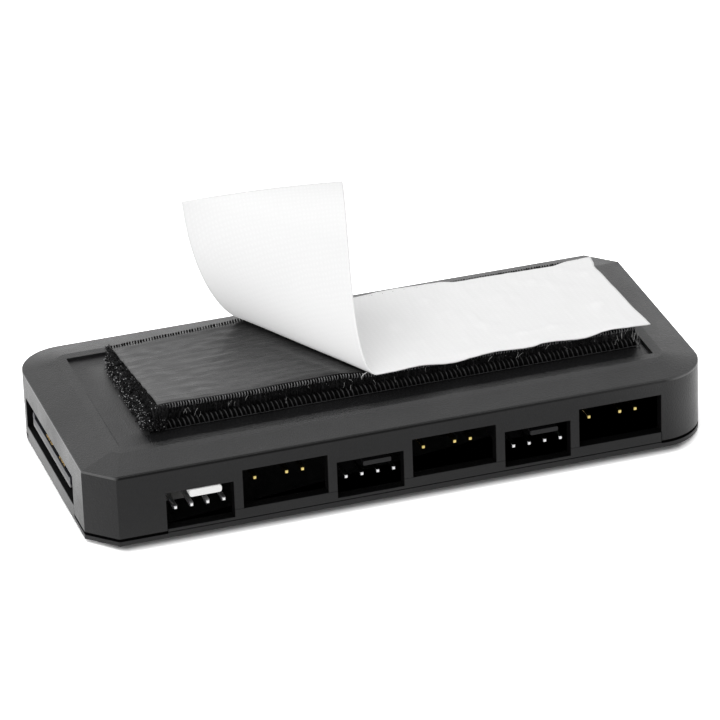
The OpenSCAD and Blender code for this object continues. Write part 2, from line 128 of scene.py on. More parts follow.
def colourMix(mask, first, second):
    return makeNode(mask.id_data, "Mix", {0: mask, 6: first, 7: second},
                    data_type="RGBA").outputs[2]


def rangeNode(value, span, low, high):
    given = enumerate((value, *span, low, high))
    return makeNode(value.id_data, "MapRange", given).outputs[0]


def rise(value, span):
    return rangeNode(value, span, 0.0, 1.0)


def fall(value, span):
    return rangeNode(value, span, 1.0, 0.0)


def blend(mask, first, second):
    return rangeNode(mask, (0.0, 1.0), first, second)


def noiseNode(coordinate, scale, detail, rough=0.5):
    given = {"Vector": coordinate, "Scale": scale, "Detail": detail, "Roughness": rough}
    return makeNode(coordinate.id_data, "TexNoise", given).outputs["Fac"]


def objectPlace(tree):
    return makeNode(tree, "TexCoord").outputs["Object"]


def placeInMm(tree):
    split = makeNode(tree, "SeparateXYZ", {0: objectPlace(tree)})
    return [times(split.outputs[k], 1 / mm) for k in range(3)]


def dotNode(coordinate, direction):
    node = makeNode(coordinate.id_data, "VectorMath", {0: coordinate}, operation="DOT_PRODUCT")
    node.inputs[1].default_value = direction
    return node.outputs["Value"]


# The node groups: effects that more than one material uses
groups = {}


def newGroup(name, inputs):
    tree = bpy.data.node_groups.new(name, "ShaderNodeTree")
    for label, value in inputs.items():
        kind = "NodeSocketFloat" if isinstance(value, float) else "NodeSocketColor"
        tree.interface.new_socket(label, in_out="INPUT", socket_type=kind).default_value = value
    return tree, tree.nodes.new("NodeGroupInput").outputs


def giveOut(tree, **values):
    for label, value in values.items():
        kind = "NodeSocketColor" if value.type == "RGBA" else "NodeSocketFloat"
        tree.interface.new_socket(label, in_out="OUTPUT", socket_type=kind)
    feed(tree.nodes.new("NodeGroupOutput"), values)
    return tree


def placeGroup(tree, kind, **values):
    node = tree.nodes.new("ShaderNodeGroup")
    node.node_tree = groups[kind]
    feed(node, spaced(values))
    return node.outputs


# Fine spark-eroded grain of a moulded face, with broader patches that shine a little more
def buildGrain():
    tree, given = newGroup("mouldedGrain", {"Grain Size": 0.25, "Patch Size": 9.0})
    place = objectPlace(tree)
    fineScale, patchScale = (mathNode("DIVIDE", 1 / mm, given[label])
                             for label in ("Grain Size", "Patch Size"))
    fine = noiseNode(place, fineScale, detail=3.0, rough=0.62)
    pebble = makeNode(tree, "TexVoronoi", {"Vector": place, "Scale": times(fineScale, 0.7)})
    both = plus(times(fine, 0.7), times(pebble.outputs["Distance"], 0.4))
    patches = noiseNode(place, patchScale, detail=4.0, rough=0.6)
    return giveOut(tree, Height=both, Patch=patches)


# Slow drift between two shades of one colour
def buildDrift():
    tree, given = newGroup("shadeDrift", {"Size": 6.0, "Shade A": (0.5, 0.5, 0.5, 1),
                                          "Shade B": (0.6, 0.6, 0.6, 1)})
    scale = mathNode("DIVIDE", 1 / mm, given["Size"])
    mask = rise(noiseNode(objectPlace(tree), scale, detail=5.0, rough=0.6), noiseSpan)
    return giveOut(tree, Colour=colourMix(mask, given["Shade A"], given["Shade B"]), Mask=mask)


# Sparse pale specks: lint and dust that settle on dark faces
def buildDust():
    tree, given = newGroup("settledDust", {"Spacing": 1.5, "Speck": 0.1})
    cell = makeNode(tree, "TexVoronoi", {
        "Vector": objectPlace(tree), "Scale": mathNode("DIVIDE", 1 / mm, given["Spacing"])})
    near = mathNode("LESS_THAN", cell.outputs["Distance"], given["Speck"])
    draw = makeNode(tree, "SeparateColor", {"Color": cell.outputs["Color"]}).outputs[0]
    return giveOut(tree, Mask=times(near, mathNode("GREATER_THAN", draw, 0.6)))


# Long fine lines along the casing, as drawn metal and stretched film have
def buildStreaks():
    tree, given = newGroup("drawnStreaks", {"Width": 0.4, "Length": 12.0})
    pitches = (given["Length"], given["Width"], given["Width"])
    stretched = makeNode(tree, "CombineXYZ", enumerate(
        mathNode("DIVIDE", place, pitch) for place, pitch in zip(placeInMm(tree), pitches)))
    streak = noiseNode(stretched.outputs[0], scale=1.0, detail=4.0, rough=0.6)
    return giveOut(tree, Streak=streak)


# Mask that is 1 outside a band of one axis: tinned legs, ends and rims of small parts
def buildBand():
    tree, given = newGroup("outsideBand", {"Value": 0.0, "Middle": 0.0, "Half": 1.0})
    away = absolute(minus(given["Value"], given["Middle"]))
    return giveOut(tree, Mask=mathNode("GREATER_THAN", away, given["Half"]))


hubShape = {"halfLength": 50.0, "halfWidth": 23.0, "cornerRound": 7.5,
            "chamferLeg": 4.3, "innerHeights": (1.22, 11.9)}


# Distance in millimetres from the hub's outline, seen from above and shifted if asked
def buildOutlineGap():
    tree, given = newGroup("outlineGap", {"Shift X": 0.0, "Shift Y": 0.0})
    x, y, z = placeInMm(tree)
    x, y = minus(x, given["Shift X"]), minus(y, given["Shift Y"])
    rounded = hubShape["cornerRound"]
    overX = minus(absolute(x), hubShape["halfLength"] - rounded)
    overY = minus(absolute(y), hubShape["halfWidth"] - rounded)
    over = mathNode("MAXIMUM", overX, overY)
    outX, outY = (mathNode("MAXIMUM", v, 0.0) for v in (overX, overY))
    reach = mathNode("SQRT", plus(times(outX, outX), times(outY, outY)))
    soft = minus(plus(reach, mathNode("MINIMUM", over, 0.0)), rounded)
    # square corners where the product of x and y is positive, cut by the chamfer
    leg = hubShape["halfLength"] + hubShape["halfWidth"] - hubShape["chamferLeg"]
    cut = times(minus(absolute(plus(x, y)), leg), math.sqrt(0.5))
    square = mathNode("MAXIMUM", minus(over, rounded), cut)
    same = mathNode("GREATER_THAN", times(x, y), 0.0)
    gap = plus(times(same, square), times(minus(1.0, same), soft))
    return giveOut(tree, Gap=gap, Height=z)


# Painted shade: mask of the shells' inner faces deeper than Depth inside the outline, where
# little light reaches
def buildPaintedInnerShade():
    tree, given = newGroup("paintedInnerShade", {"Depth": 0.12})
    shape = placeGroup(tree, "outline")
    inside = mathNode("LESS_THAN", shape["Gap"], times(given["Depth"], -1.0))
    bottom, top = hubShape["innerHeights"]
    low = mathNode("GREATER_THAN", shape["Height"], bottom)
    high = mathNode("LESS_THAN", shape["Height"], top)
    return giveOut(tree, Mask=times(inside, low, high))


# Each pair is the span over which a mask rises or falls
shellMarks = {
    "wallLeft": (-46.1, -45.3), "wallRight": (42.2, 45.0), "wallNear": (-21.9, -21.6),
    "lineHeight": (11.80, 11.94), "lineGap": (-0.46, -0.32), "lineFade": (0.0, 44.0),
    "lineDepth": (0.75, 0.35), "wallShadowStart": (42.88, 42.96), "wallShadowEnd": (43.04, 43.12),
    "wallShadowWidth": (14.8, 15.6), "wallShadowFade": (-4.0, 6.0), "wallShadowDepth": 0.5,
    "overEdge": (12.1, 12.16), "highlightLow": (11.86, 11.96), "highlightHigh": (12.18, 12.24),
    "highlightGap": (-0.30, -0.22), "padTop": (12.4, 12.6), "apronNear": (-18.8, -18.1),
    "apronFar": (-11.0, -8.0), "apronMiddle": 2.45, "apronEnds": (39.5, 41.0),
    "litPatchLeft": (-41.2, -38.7), "litPatchRight": (-37.4, -36.8), "litPatchNear": (-12.6, -11.0),
    "litPatchFar": (12.0, 13.5),
}


# Lines of the casing: a painted dark reflection along the front wall's top edge, a painted
# highlight along the other top edges, a painted shadow line at the recess's end walls, the
# polished apron before the tape and a painted lighter patch, standing in for light, at its left
# end
def buildShellLines():
    tree, _ = newGroup("shellLines", {})
    shape = placeGroup(tree, "outline")
    gap, height = shape["Gap"], shape["Height"]
    x, y, _ = placeInMm(tree)
    marks = shellMarks
    straight = times(rise(x, marks["wallLeft"]), fall(x, marks["wallRight"]),
                     fall(y, marks["wallNear"]))
    # painted dark reflection along the front wall's top edge
    line = times(straight, rise(height, marks["lineHeight"]), rise(gap, marks["lineGap"]),
                 rangeNode(x, marks["lineFade"], *marks["lineDepth"]))
    # painted shadow line along the recess's end walls
    crease = times(rise(absolute(x), marks["wallShadowStart"]), fall(absolute(x), marks["wallShadowEnd"]),
                   fall(absolute(y), marks["wallShadowWidth"]),
                   rangeNode(y, marks["wallShadowFade"], marks["wallShadowDepth"], 0.0),
                   rise(height, marks["overEdge"]))
    # painted highlight along the other top edges
    paintedLight = times(minus(1.0, straight), rise(height, marks["highlightLow"]),
                 fall(height, marks["highlightHigh"]), rise(gap, marks["highlightGap"]))
    onPad = rise(height, marks["padTop"])
    aside = absolute(minus(x, marks["apronMiddle"]))
    apron = times(rise(y, marks["apronNear"]), fall(y, marks["apronFar"]),
                  fall(aside, marks["apronEnds"]), onPad)
    # painted light: a lighter patch just left of the tape's left end
    lintAndLitPatch = times(rise(x, marks["litPatchLeft"]), fall(x, marks["litPatchRight"]),
                 rise(y, marks["litPatchNear"]), fall(y, marks["litPatchFar"]), onPad)
    return giveOut(tree, Dark=mathNode("MAXIMUM", line, crease), Worn=paintedLight, Apron=apron,
                   Lint=lintAndLitPatch)


for kind, build in (("grain", buildGrain), ("drift", buildDrift), ("dust", buildDust),
                    ("streaks", buildStreaks), ("band", buildBand), ("outline", buildOutlineGap),
                    ("inner", buildPaintedInnerShade), ("lines", buildShellLines)):
    groups[kind] = build()


def blankMaterial(name, **plain):
    finish = bpy.data.materials.new(name)
    finish.use_nodes = True
    tree = finish.node_tree
    shader = tree.nodes["Principled BSDF"]
    feed(shader, spaced(plain))
    return finish, tree, shader


def shadeWith(shader, **values):
    feed(shader, spaced(values))


# Emission that paints light onto a part that is no lamp
def paintLightWith(shader, mask, colour):
    shadeWith(shader, Emission_Color=colourMix(mask, black, colour), Emission_Strength=1.0)


def bumpInto(shader, height, depth, under=None):
    node = makeNode(shader.id_data, "Bump", {"Strength": 1.0, "Distance": depth * mm,
                                             "Height": height})
    if under is not None:
        feed(node, {"Normal": under})
    shadeWith(shader, Normal=node.outputs[0])
    return node.outputs[0]


innerRough = 0.8


# Moulded plastic: grain, slow drift of shade, patches of shine and a little dust; painted shade
# on faces deep inside, and painted lines and glow where asked
def plastic(name, shadeA, shadeB, shine, grain, depth, patch, inner, dust=None, lines=None,
            glow=None):
    finish, tree, shader = blankMaterial(name, IOR=1.5)
    colour = placeGroup(tree, "drift", Size=patch, Shade_A=shadeA, Shade_B=shadeB)["Colour"]
    relief = placeGroup(tree, "grain", Grain_Size=grain)
    if dust:
        specks = placeGroup(tree, "dust", Spacing=dust["spacing"], Speck=dust["speck"])
        colour = colourMix(specks["Mask"], colour, dust["shade"])
    # painted shade: faces deep inside take a near-black colour, a dim reflection and more
    # roughness
    mask = placeGroup(tree, "inner", Depth=inner["depth"])["Mask"]
    colour = colourMix(mask, colour, inner["shade"])
    rough = mathNode("MAXIMUM", rangeNode(relief["Patch"], noiseSpan, *shine),
                     times(mask, innerRough))
    dull = times(mask, inner["dull"])
    # painted lines of light and shade on the casing; the apron changes only the roughness
    if lines:
        shell = placeGroup(tree, "lines")
        for mark in ("Lint", "Dark", "Worn"):
            colour = colourMix(shell[mark], colour, lines[mark])
        rough = blend(shell["Apron"], rough, lines["Apron"])
        dull = blend(shell["Dark"], dull, lines["dull"])
    # painted light: faces outside the inner mask glow a little
    if glow:
        paintLightWith(shader, minus(1.0, mask), glow)
    shadeWith(shader, Base_Color=colour, Roughness=rough, Metallic=dull)
    bumpInto(shader, relief["Height"], depth)
    return finish


# Metal with drawn lines in its shine and a faint drift of tone
def metalBase(name, shadeA, shadeB, shine):
    finish, tree, shader = blankMaterial(name, Metallic=1.0)
    drift = placeGroup(tree, "drift", Size=1.2, Shade_A=shadeA, Shade_B=shadeB)
    streak = placeGroup(tree, "streaks", Width=0.05, Length=1.5)["Streak"]
    bumpInto(shader, streak, depth=0.004)
    return finish, tree, shader, drift["Colour"], rangeNode(streak, noiseSpan, *shine)


tipHighlightLook = {"face": (-0.20, -0.06), "rough": 0.5, "metal": 0.1}


# Plated metal; a pin's end face can carry a painted highlight: pale, rough and glowing
def plating(name, shadeA, shadeB, shine, highlightTip=None):
    finish, tree, shader, colour, rough = metalBase(name, shadeA, shadeB, shine)
    if highlightTip:
        low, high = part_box(highlightTip["node"])
        end = max(-low[1], high[1]) / mm - hubShape["halfWidth"]
        span = [end + before for before in tipHighlightLook["face"]]
        cut = rise(placeGroup(tree, "outline")["Gap"], span)
        colour = colourMix(cut, colour, highlightTip["shade"])
        rough = blend(cut, rough, tipHighlightLook["rough"])
        shadeWith(shader, Metallic=blend(cut, 1.0, tipHighlightLook["metal"]))
        paintLightWith(shader, cut, highlightTip["glow"])
    shadeWith(shader, Base_Color=colour, Roughness=rough)
    return finish


epoxy, tin = (0.012, 0.012, 0.013), (0.72, 0.72, 0.72)


# Small part: a moulded body whose ends or legs, outside a band, are tinned
def tinnedPart(name, axis, middles, half, body=epoxy, metal=tin, shine=(0.45, 0.3)):
    finish, tree, shader = blankMaterial(name)
    place = placeInMm(tree)[axis]
    mask = times(*(placeGroup(tree, "band", Value=place, Middle=middle, Half=half)["Mask"]
                   for middle in middles))
    drift = placeGroup(tree, "drift", Size=2.0, Shade_A=body, Shade_B=[v * 1.25 for v in body])
    shadeWith(shader, Base_Color=colourMix(mask, drift["Colour"], metal),
              Metallic=mask, Roughness=blend(mask, *shine))
    bumpInto(shader, placeGroup(tree, "grain", Grain_Size=0.12)["Height"], depth=0.01)
    return finish


dustAndLitPatchGrey, paintedShadeBlack = (0.05, 0.05, 0.05), (0.0022, 0.0022, 0.0026)
tinShades = ((0.55, 0.55, 0.56), (0.66, 0.66, 0.67))
# painted highlight on the tin pins' end faces: pale and glowing
tinTipHighlight = {"node": "fan_pins_1", "shade": (1.0, 1.0, 1.0), "glow": (0.2, 0.2, 0.2)}
# painted shade for inner faces: their colour, and how much metallic dims their reflection
inside = {"depth": 0.12, "shade": paintedShadeBlack, "dull": 0.8}
finishes = {
    "casing": plastic("casingPlastic", (0.0095, 0.0095, 0.0100), (0.0130, 0.0130, 0.0135),
                      shine=(0.30, 0.42), grain=0.20, depth=0.070, patch=7.0, inner=inside,
                      dust={"spacing": 3.2, "speck": 0.03, "shade": dustAndLitPatchGrey},
                      # colours of the painted dark line, painted highlight and painted lighter
                      # patch
                      lines={"Dark": (0.004, 0.004, 0.004), "Worn": (0.11, 0.11, 0.11),
                             "Apron": 0.12, "Lint": dustAndLitPatchGrey, "dull": 0.9}),
    "cover": plastic("coverPlastic", (0.0085, 0.0085, 0.0090), (0.0120, 0.0120, 0.0125),
                     shine=(0.34, 0.42), grain=0.20, depth=0.055, patch=7.0, inner=inside,
                     dust={"spacing": 3.6, "speck": 0.03, "shade": dustAndLitPatchGrey}),
    # painted light makes the white tab glow, and painted shade darkens its base deeper inside
    "whiteNylon": plastic("whiteNylon", (0.92, 0.92, 0.91), (0.96, 0.96, 0.95),
                          shine=(0.35, 0.45), grain=0.15, depth=0.006, patch=2.0,
                          inner={"depth": 2.6, "shade": (0.17, 0.17, 0.165), "dull": 0.3},
                          glow=(0.16, 0.16, 0.16)),
    "blackNylon": plastic("blackNylon", (0.010, 0.010, 0.011), (0.014, 0.014, 0.015),
                          shine=(0.32, 0.42), grain=0.15, depth=0.010, patch=3.0,
                          inner=dict(inside, depth=2.6)),
    "tinPin": plating("tinPin", *tinShades, (0.10, 0.18), tinTipHighlight),
    "litPin": plating("litPin", *tinShades, (0.38, 0.48), tinTipHighlight),
    # the gilt pins' end faces carry a painted highlight: pale and glowing
    "giltPin": plating("giltPin", (0.60, 0.44, 0.20), (0.70, 0.52, 0.25), (0.10, 0.18),
                       {"node": "light_pins_1", "shade": (1.0, 0.80, 0.34),
                        "glow": (0.42, 0.33, 0.10)}),
    "screwSteel": plating("screwSteel", (0.52, 0.53, 0.55), (0.66, 0.67, 0.68), (0.25, 0.4)),
    "controller": tinnedPart("controllerChip", 0, (0.0,), half=3.52),
}
print("plain finishes made")


# Blade of the supply inlet: painted light makes its lower front edge pale, and painted shade
# darkens it deeper in
def inletFinish():
    finish, tree, shader = blankMaterial("inletPlastic", IOR=1.5)
    shape = placeGroup(tree, "outline")
    relief = placeGroup(tree, "grain", Grain_Size=0.18)
    colour = placeGroup(tree, "drift", Size=3.0, Shade_A=(0.016, 0.017, 0.022),
                        Shade_B=(0.022, 0.023, 0.030))["Colour"]
    paintedLowerLight = fall(shape["Height"], (4.75, 5.15))
    paintedDeepShade = fall(shape["Gap"], (-1.4, -0.7))
    colour = colourMix(paintedLowerLight, colour, (0.16, 0.16, 0.16))
    shadeWith(shader, Base_Color=colourMix(paintedDeepShade, colour, (0.003, 0.003, 0.004)),
              Roughness=rangeNode(relief["Patch"], noiseSpan, 0.36, 0.48),
              Metallic=times(paintedDeepShade, 0.85))
    bumpInto(shader, relief["Height"], depth=0.012)
    return finish


def clusters(name, axis, gap):
    # middles of the separate parts of one node along an axis
    values = sorted(v.co[axis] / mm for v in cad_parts[name].data.vertices)
    runs = [[values[0], values[0]]]
    for value in values:
        if value - runs[-1][1] > gap:
            runs.append([value, value])
        runs[-1][1] = value
    return [(a + b) / 2 for a, b in runs]


# Gilt contacts of the inlet: painted light makes a band of each glow, and painted shade darkens
# the rest, their far flanks
def contactFinish():
    finish, tree, shader, colour, rough = metalBase("giltContact", (0.93, 0.66, 0.27),
                                                    (0.98, 0.76, 0.36), (0.42, 0.52))
    middles = clusters("power_contacts", 1, 0.1)
    pitch = min(b - a for a, b in zip(middles, middles[1:]))
    print("inlet contacts", len(middles), round(pitch, 3))
    # the fraction is 0.5 in the middle of each contact; 100 keeps the number above zero
    turns = plus(times(placeInMm(tree)[1], 1 / pitch), 100.5 - middles[0] / pitch)
    turn = mathNode("FRACT", turns)
    lit = times(rise(turn, (0.08, 0.14)), fall(turn, (0.62, 0.70)))
    shadeWith(shader, Base_Color=colourMix(lit, (0.02, 0.015, 0.008), colour), Roughness=rough)
    paintLightWith(shader, lit, (0.30, 0.20, 0.07))
    return finish


# Solder mask over tracks
def boardFinish():
    finish, tree, shader = blankMaterial("boardMask", IOR=1.5)
    copper = makeNode(tree, "TexBrick", {"Vector": objectPlace(tree), "Scale": 300,
                                         "Mortar Size": 0.03}).outputs["Fac"]
    drift = placeGroup(tree, "drift", Size=5.0, Shade_A=(0.006, 0.010, 0.008),
                       Shade_B=(0.010, 0.015, 0.012))
    patch = placeGroup(tree, "grain", Grain_Size=0.4)["Patch"]
    shadeWith(shader, Base_Color=colourMix(copper, drift["Colour"], (0.03, 0.04, 0.03)),
              Roughness=rangeNode(patch, noiseSpan, 0.22, 0.34))
    bumpInto(shader, copper, depth=0.03)
    return finish


low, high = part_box("regulator")
regulatorBody = (low[0] + high[0]) / 2 / mm - 0.45  # its legs stand out on one side
finishes.update({
    "inlet": inletFinish(), "board": boardFinish(), "giltContact": contactFinish(),
    "regulator": tinnedPart("regulatorEpoxy", 0, (regulatorBody,), half=3.27),
    "switch": tinnedPart("switchEpoxy", 0, clusters("power_switches", 0, 0.6), half=2.02),
    "smallChip": tinnedPart("chipCeramic", 0, clusters("small_chips", 0, 0.6), half=0.5,
                            body=(0.30, 0.22, 0.13), metal=(0.75, 0.75, 0.75),
                            shine=(0.5, 0.3)),
    "capacitor": tinnedPart("capacitorCan", 2, (7.3,), half=0.42, metal=(0.80, 0.81, 0.82),
                            shine=(0.45, 0.28)),
})

# The moulded and metal parts keep their CAD shape: finish and rounding of each
dressing = {
    "casing": ("casing", 0.26), "cover": ("cover", 0.12), "circuit_board": ("board", 0.0),
    "power_housing": ("inlet", 0.08), "power_contacts": ("giltContact", 0.0),
    "board_screws": ("screwSteel", 0.08), "controller_chip": ("controller", 0.05),
    "regulator": ("regulator", 0.06), "power_switches": ("switch", 0.05),
    "small_chips": ("smallChip", 0.04), "capacitors": ("capacitor", 0.1),
}
for k in range(1, 7):
    dressing["fan_header_%d" % k] = ("whiteNylon" if k == 1 else "blackNylon", 0.08)
    dressing["fan_pins_%d" % k] = ("litPin" if k == 1 else "tinPin", 0.05)
    dressing["light_header_%d" % k] = ("blackNylon", 0.08)
    dressing["light_pins_%d" % k] = ("giltPin", 0.05)
edges = {"weld": 0.002, "flat": 0.6, "round": 8, "crisp": 6}  # angles in degrees


def dress(name, finish, edge):
    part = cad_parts[name]
    part.data.materials.clear()
    part.data.materials.append(finish)
    part.modifiers.new("weld", "WELD").merge_threshold = edges["weld"] * mm
    merge = part.modifiers.new("merge", "DECIMATE")
    merge.decimate_type, merge.angle_limit = "DISSOLVE", math.radians(edges["flat"])
    if edge:
        rounding = part.modifiers.new("rounding", "BEVEL")
        rounding.width, rounding.segments = edge * mm, 2
        rounding.limit_method, rounding.angle_limit = "ANGLE", math.radians(edges["round"])
        rounding.use_clamp_overlap = True
        rounding.miter_outer = "MITER_ARC"
    part.modifiers.new("crisp", "EDGE_SPLIT").split_angle = math.radians(edges["crisp"])
    for face in part.data.polygons:
        face.use_smooth = True


for name, (finishName, edge) in dressing.items():
    dress(name, finishes[finishName], edge)
print("moulded and metal parts dressed")

# The tape, film and liner are made here


# marks gives each face's place in the list of finishes
def meshPiece(name, points, faces, materials, replaced=(), marks=()):
    mesh = bpy.data.meshes.new(name)
    mesh.from_pydata([(x * mm, y * mm, z * mm) for x, y, z in points], [], faces)
    mesh.update()
    for finish in materials:
        mesh.materials.append(finishes[finish])
    for face in mesh.polygons:
        face.use_smooth = True
    for face, mark in zip(mesh.polygons, marks):
        face.material_index = mark
    piece = bpy.data.objects.new(name, mesh)
    bpy.context.scene.collection.objects.link(piece)
    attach(piece, "root")
    if replaced:
        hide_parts(*replaced)
    return piece


def limited(value, low=0, high=1):
    return min(max(value, low), high)


def along(knots, x):
    # eased values between the knots (place, value)
    if x <= knots[0][0]:
        return knots[0][1]
    for (x0, v0), (x1, v1) in zip(knots, knots[1:]):
        if x <= x1:
            t = (x - x0) / (x1 - x0)
            return v0 + (v1 - v0) * t * t * (3 - 2 * t)
    return knots[-1][1]


# One round strand along a path of points, added to the lists
def addStrand(points, faces, path, radii, sides=3):
    path = [Vector(p) for p in path]
    base = len(points)
    side = None
    for k, spot in enumerate(path):
        heading = (path[min(k + 1, len(path) - 1)] - path[max(k - 1, 0)]).normalized()
        if side is None:
            side = heading.orthogonal().normalized()
        side = (side - heading * side.dot(heading)).normalized()
        other = heading.cross(side)
        for j in range(sides):
            angle = 2 * math.pi * j / sides
            spread = side * math.cos(angle) + other * math.sin(angle)
            points.append(tuple(spot + spread * radii[k]))
    for k in range(len(path) - 1):
        for j in range(sides):
            a, b = base + k * sides + j, base + k * sides + (j + 1) % sides
            faces.append((a, b, b + sides, a + sides))
    faces.append(tuple(base + j for j in reversed(range(sides))))
    end = base + (len(path) - 1) * sides
    faces.append(tuple(end + j for j in range(sides)))


# Faces of a grid of points; the order says where each face starts and which way it turns
def gridFaces(faces, base, columns, rows, order):
    step = columns + 1
    for j in range(rows):
        for i in range(columns):
            a = base + j * step + i
            corners = (a, a + 1, a + 1 + step, a + step)
            faces.append(tuple(corners[k] for k in order))


# Insets of the dark slabs from the tape's left, right, near and far edges; columns and rows
slabs = {"hook": ((0.75, 0.3, 0.2, 0.6), (80, 24)), "loop": ((0.25, 0.3, 0.5, 0.5), (160, 40)),
         "core": ((0.9, 0.4, 0.5, 0.6), (120, 30))}


# Slab whose bottom and top follow functions of the place
def slab(points, faces, kind, left, right, bottomAt, topAt):
    insets, (columns, rows) = slabs[kind]
    x0, x1 = left + insets[0], right - insets[1]
    y0, y1 = tape["near"] + insets[2], tape["far"] - insets[3]
    base, step = len(points), columns + 1
    for heightAt in (bottomAt, topAt):
        for j in range(rows + 1):
            for i in range(step):
                x, y = x0 + (x1 - x0) * i / columns, y0 + (y1 - y0) * j / rows
                points.append((x, y, heightAt(x, y)))
    top = base + step * (rows + 1)
    gridFaces(faces, base, columns, rows, (3, 2, 1, 0))
    gridFaces(faces, top, columns, rows, (0, 1, 2, 3))
    rim = (list(range(step)) + [j * step + columns for j in range(1, rows + 1)]
           + [rows * step + i for i in reversed(range(columns))]
           + [j * step for j in reversed(range(1, rows))])
    for spot, after in zip(rim, rim[1:] + rim[:1]):
        faces.append((base + spot, base + after, top + after, top + spot))


tape = {
    "left": -37.3, "right": 42.2, "near": -11.5, "far": 13.5, "floor": 12.9, "hookTop": 14.1,
    "loopBottom": 15.35, "bandTop": 16.2, "loopLeft": -36.3, "loopRight": 41.6,
    "nearLift": [(-36.4, 0.72), (-33.0, 0.74), (-28.0, 0.62), (-22.7, 0.48), (-14.0, 0.55),
                 (-6.3, 0.55), (-3.8, 0.22), (-2.0, 0.0)],
    "farLift": [(-36.4, -1.0), (-32.0, -0.8), (-27.8, -0.62), (-23.4, -0.48), (-19.0, -0.28),
                (-14.5, 0.0)],
    "foldSlant": 13.9, "ribPitch": 0.44, "fuzzyEnd": 2.4,
}


# How far the upper tape stands above or below its flat place; it lies flat under the liner,
# whose slanting fold starts further left at the far side
def liftAt(x, y):
    v = limited((y - tape["near"]) / (tape["far"] - tape["near"]))
    near = along(tape["nearLift"], x + tape["foldSlant"] * v)
    return near * (1 - v) ** 1.4 + along(tape["farLift"], x) * v ** 1.6


def lifted(level):
    return lambda x, y: level + liftAt(x, y)


def flat(level):
    return lambda x, y: level


# Yarn and fibre: two crossing waves for the twist, and a quick drift of shade
def yarn(name, shadeA, shadeB, shine, ior=1.5):
    finish, tree, shader = blankMaterial(name, IOR=ior)
    place = objectPlace(tree)
    threads, crossing = (makeNode(tree, "TexWave", {"Vector": place, "Scale": scale,
                                                    "Distortion": distortion},
                                  bands_direction=way).outputs["Fac"]
                         for way, scale, distortion in (("X", 900, 1.5), ("DIAGONAL", 700, 2.0)))
    drift = placeGroup(tree, "drift", Size=0.7, Shade_A=shadeA, Shade_B=shadeB)
    shadeWith(shader, Base_Color=drift["Colour"], Roughness=blend(drift["Mask"], *shine))
    bumpInto(shader, plus(threads, crossing), depth=0.03)
    return finish


finishes.update({
    "weave": yarn("wovenTape", (0.012, 0.012, 0.0125), (0.060, 0.060, 0.062), (0.36, 0.55), 1.4),
    # painted light: a lighter copy of the tape's black yarn, where light falls on the upper ribs
    "selvage": yarn("litSelvageYarn", (0.045, 0.045, 0.046), (0.21, 0.21, 0.215), (0.30, 0.50)),
    # painted shade: near black, for the bulks and far ribs that stand where the pile is in shade
    "dark": yarn("pileShade", (0.002, 0.002, 0.002), (0.004, 0.004, 0.004), (0.8, 0.9), 1.2),
    "fibre": yarn("pileFibre", (0.003, 0.003, 0.0033), (0.009, 0.009, 0.0095), (0.5, 0.75),
                  1.28),
    # painted light: a lighter copy of the pile fibre, for fibres that catch light
    "paintedLitFibre": yarn("litFibre", (0.010, 0.010, 0.0105), (0.045, 0.045, 0.047), (0.4, 0.6), 1.35),
    # painted glint on the fibres' cut tips
    "paintedGlintEnd": yarn("paintedGlintFibre", (0.30, 0.30, 0.305), (0.75, 0.75, 0.76), (0.25, 0.45)),
    "lintAndLitPatch": yarn("paleHair", (0.35, 0.35, 0.35), (0.75, 0.75, 0.74), (0.4, 0.6)),
})

# Yarns wrapped round the selvages. A profile is a list of (y, height) at the near side
ribs = {
    "hookNear": {"pitch": 0.74, "strand": 0.085, "slant": 0.62, "spread": 0.14},
    "hookFar": {"pitch": 0.74, "strand": 0.085, "slant": 0.5, "spread": 0.14},
    "loopNear": {"pitch": 0.44, "strand": 0.08, "slant": 0.0, "spread": 0.16},
    "loopFar": {"pitch": 0.44, "strand": 0.115, "slant": 0.0, "spread": 0.12},
    "hookProfile": [(-10.9, 14.30), (-11.35, 14.36), (-11.72, 14.26), (-11.90, 14.02),
                    (-11.98, 13.7), (-11.99, 13.40), (-11.95, 13.12), (-11.80, 13.04)],
    "farInset": 0.5,
    "loopProfile": [(-10.8, -0.10), (-11.15, 0.0), (-11.42, -0.08), (-11.55, -0.26),
                    (-11.56, -0.44), (-11.46, -0.60), (-11.2, -0.70)],
    "loopFarProfile": [(-11.1, 0.14), (-11.35, 0.31), (-11.55, 0.24), (-11.62, 0.0),
                       (-11.55, -0.4)],
    "baseStrand": {"step": 0.3, "y": -12.0, "z": 13.07, "radius": 0.05},
    "shift": 0.03, "swell": (0.8, 1.2), "endSwell": 0.75, "bulge": (-0.02, 0.03),
    "pitchSpread": (0.92, 1.08), "sides": 6,
}


def ribRow(points, faces, rand, span, side, profile, heightAt, kind):
    x, last = span[0], len(profile) - 1
    while x < span[1]:
        lean = kind["slant"] + rand.uniform(-kind["spread"], kind["spread"])
        shift = rand.uniform(-ribs["shift"], ribs["shift"])
        swell = kind["strand"] * rand.uniform(*ribs["swell"])
        path, radii = [], []
        for n, (y, level) in enumerate(profile):
            t = n / last
            wave = 0.03 * math.sin(3.1 * t)
            px = limited(x + shift * (1 - 0.5 * abs(2 * t - 1)) + lean * (t - 0.3) + wave, *span)
            bulge = rand.uniform(*ribs["bulge"])
            path.append((px, side(y - bulge), heightAt(px, side(y), level)))
            radii.append(swell * (ribs["endSwell"] if n in (0, last) else 1.0))
        addStrand(points, faces, path, radii, ribs["sides"])
        x += kind["pitch"] * rand.uniform(*ribs["pitchSpread"])


def nearSide(y):
    return y


def farSide(y):
    # the far selvage mirrors the near one
    return tape["far"] + (tape["near"] - y)


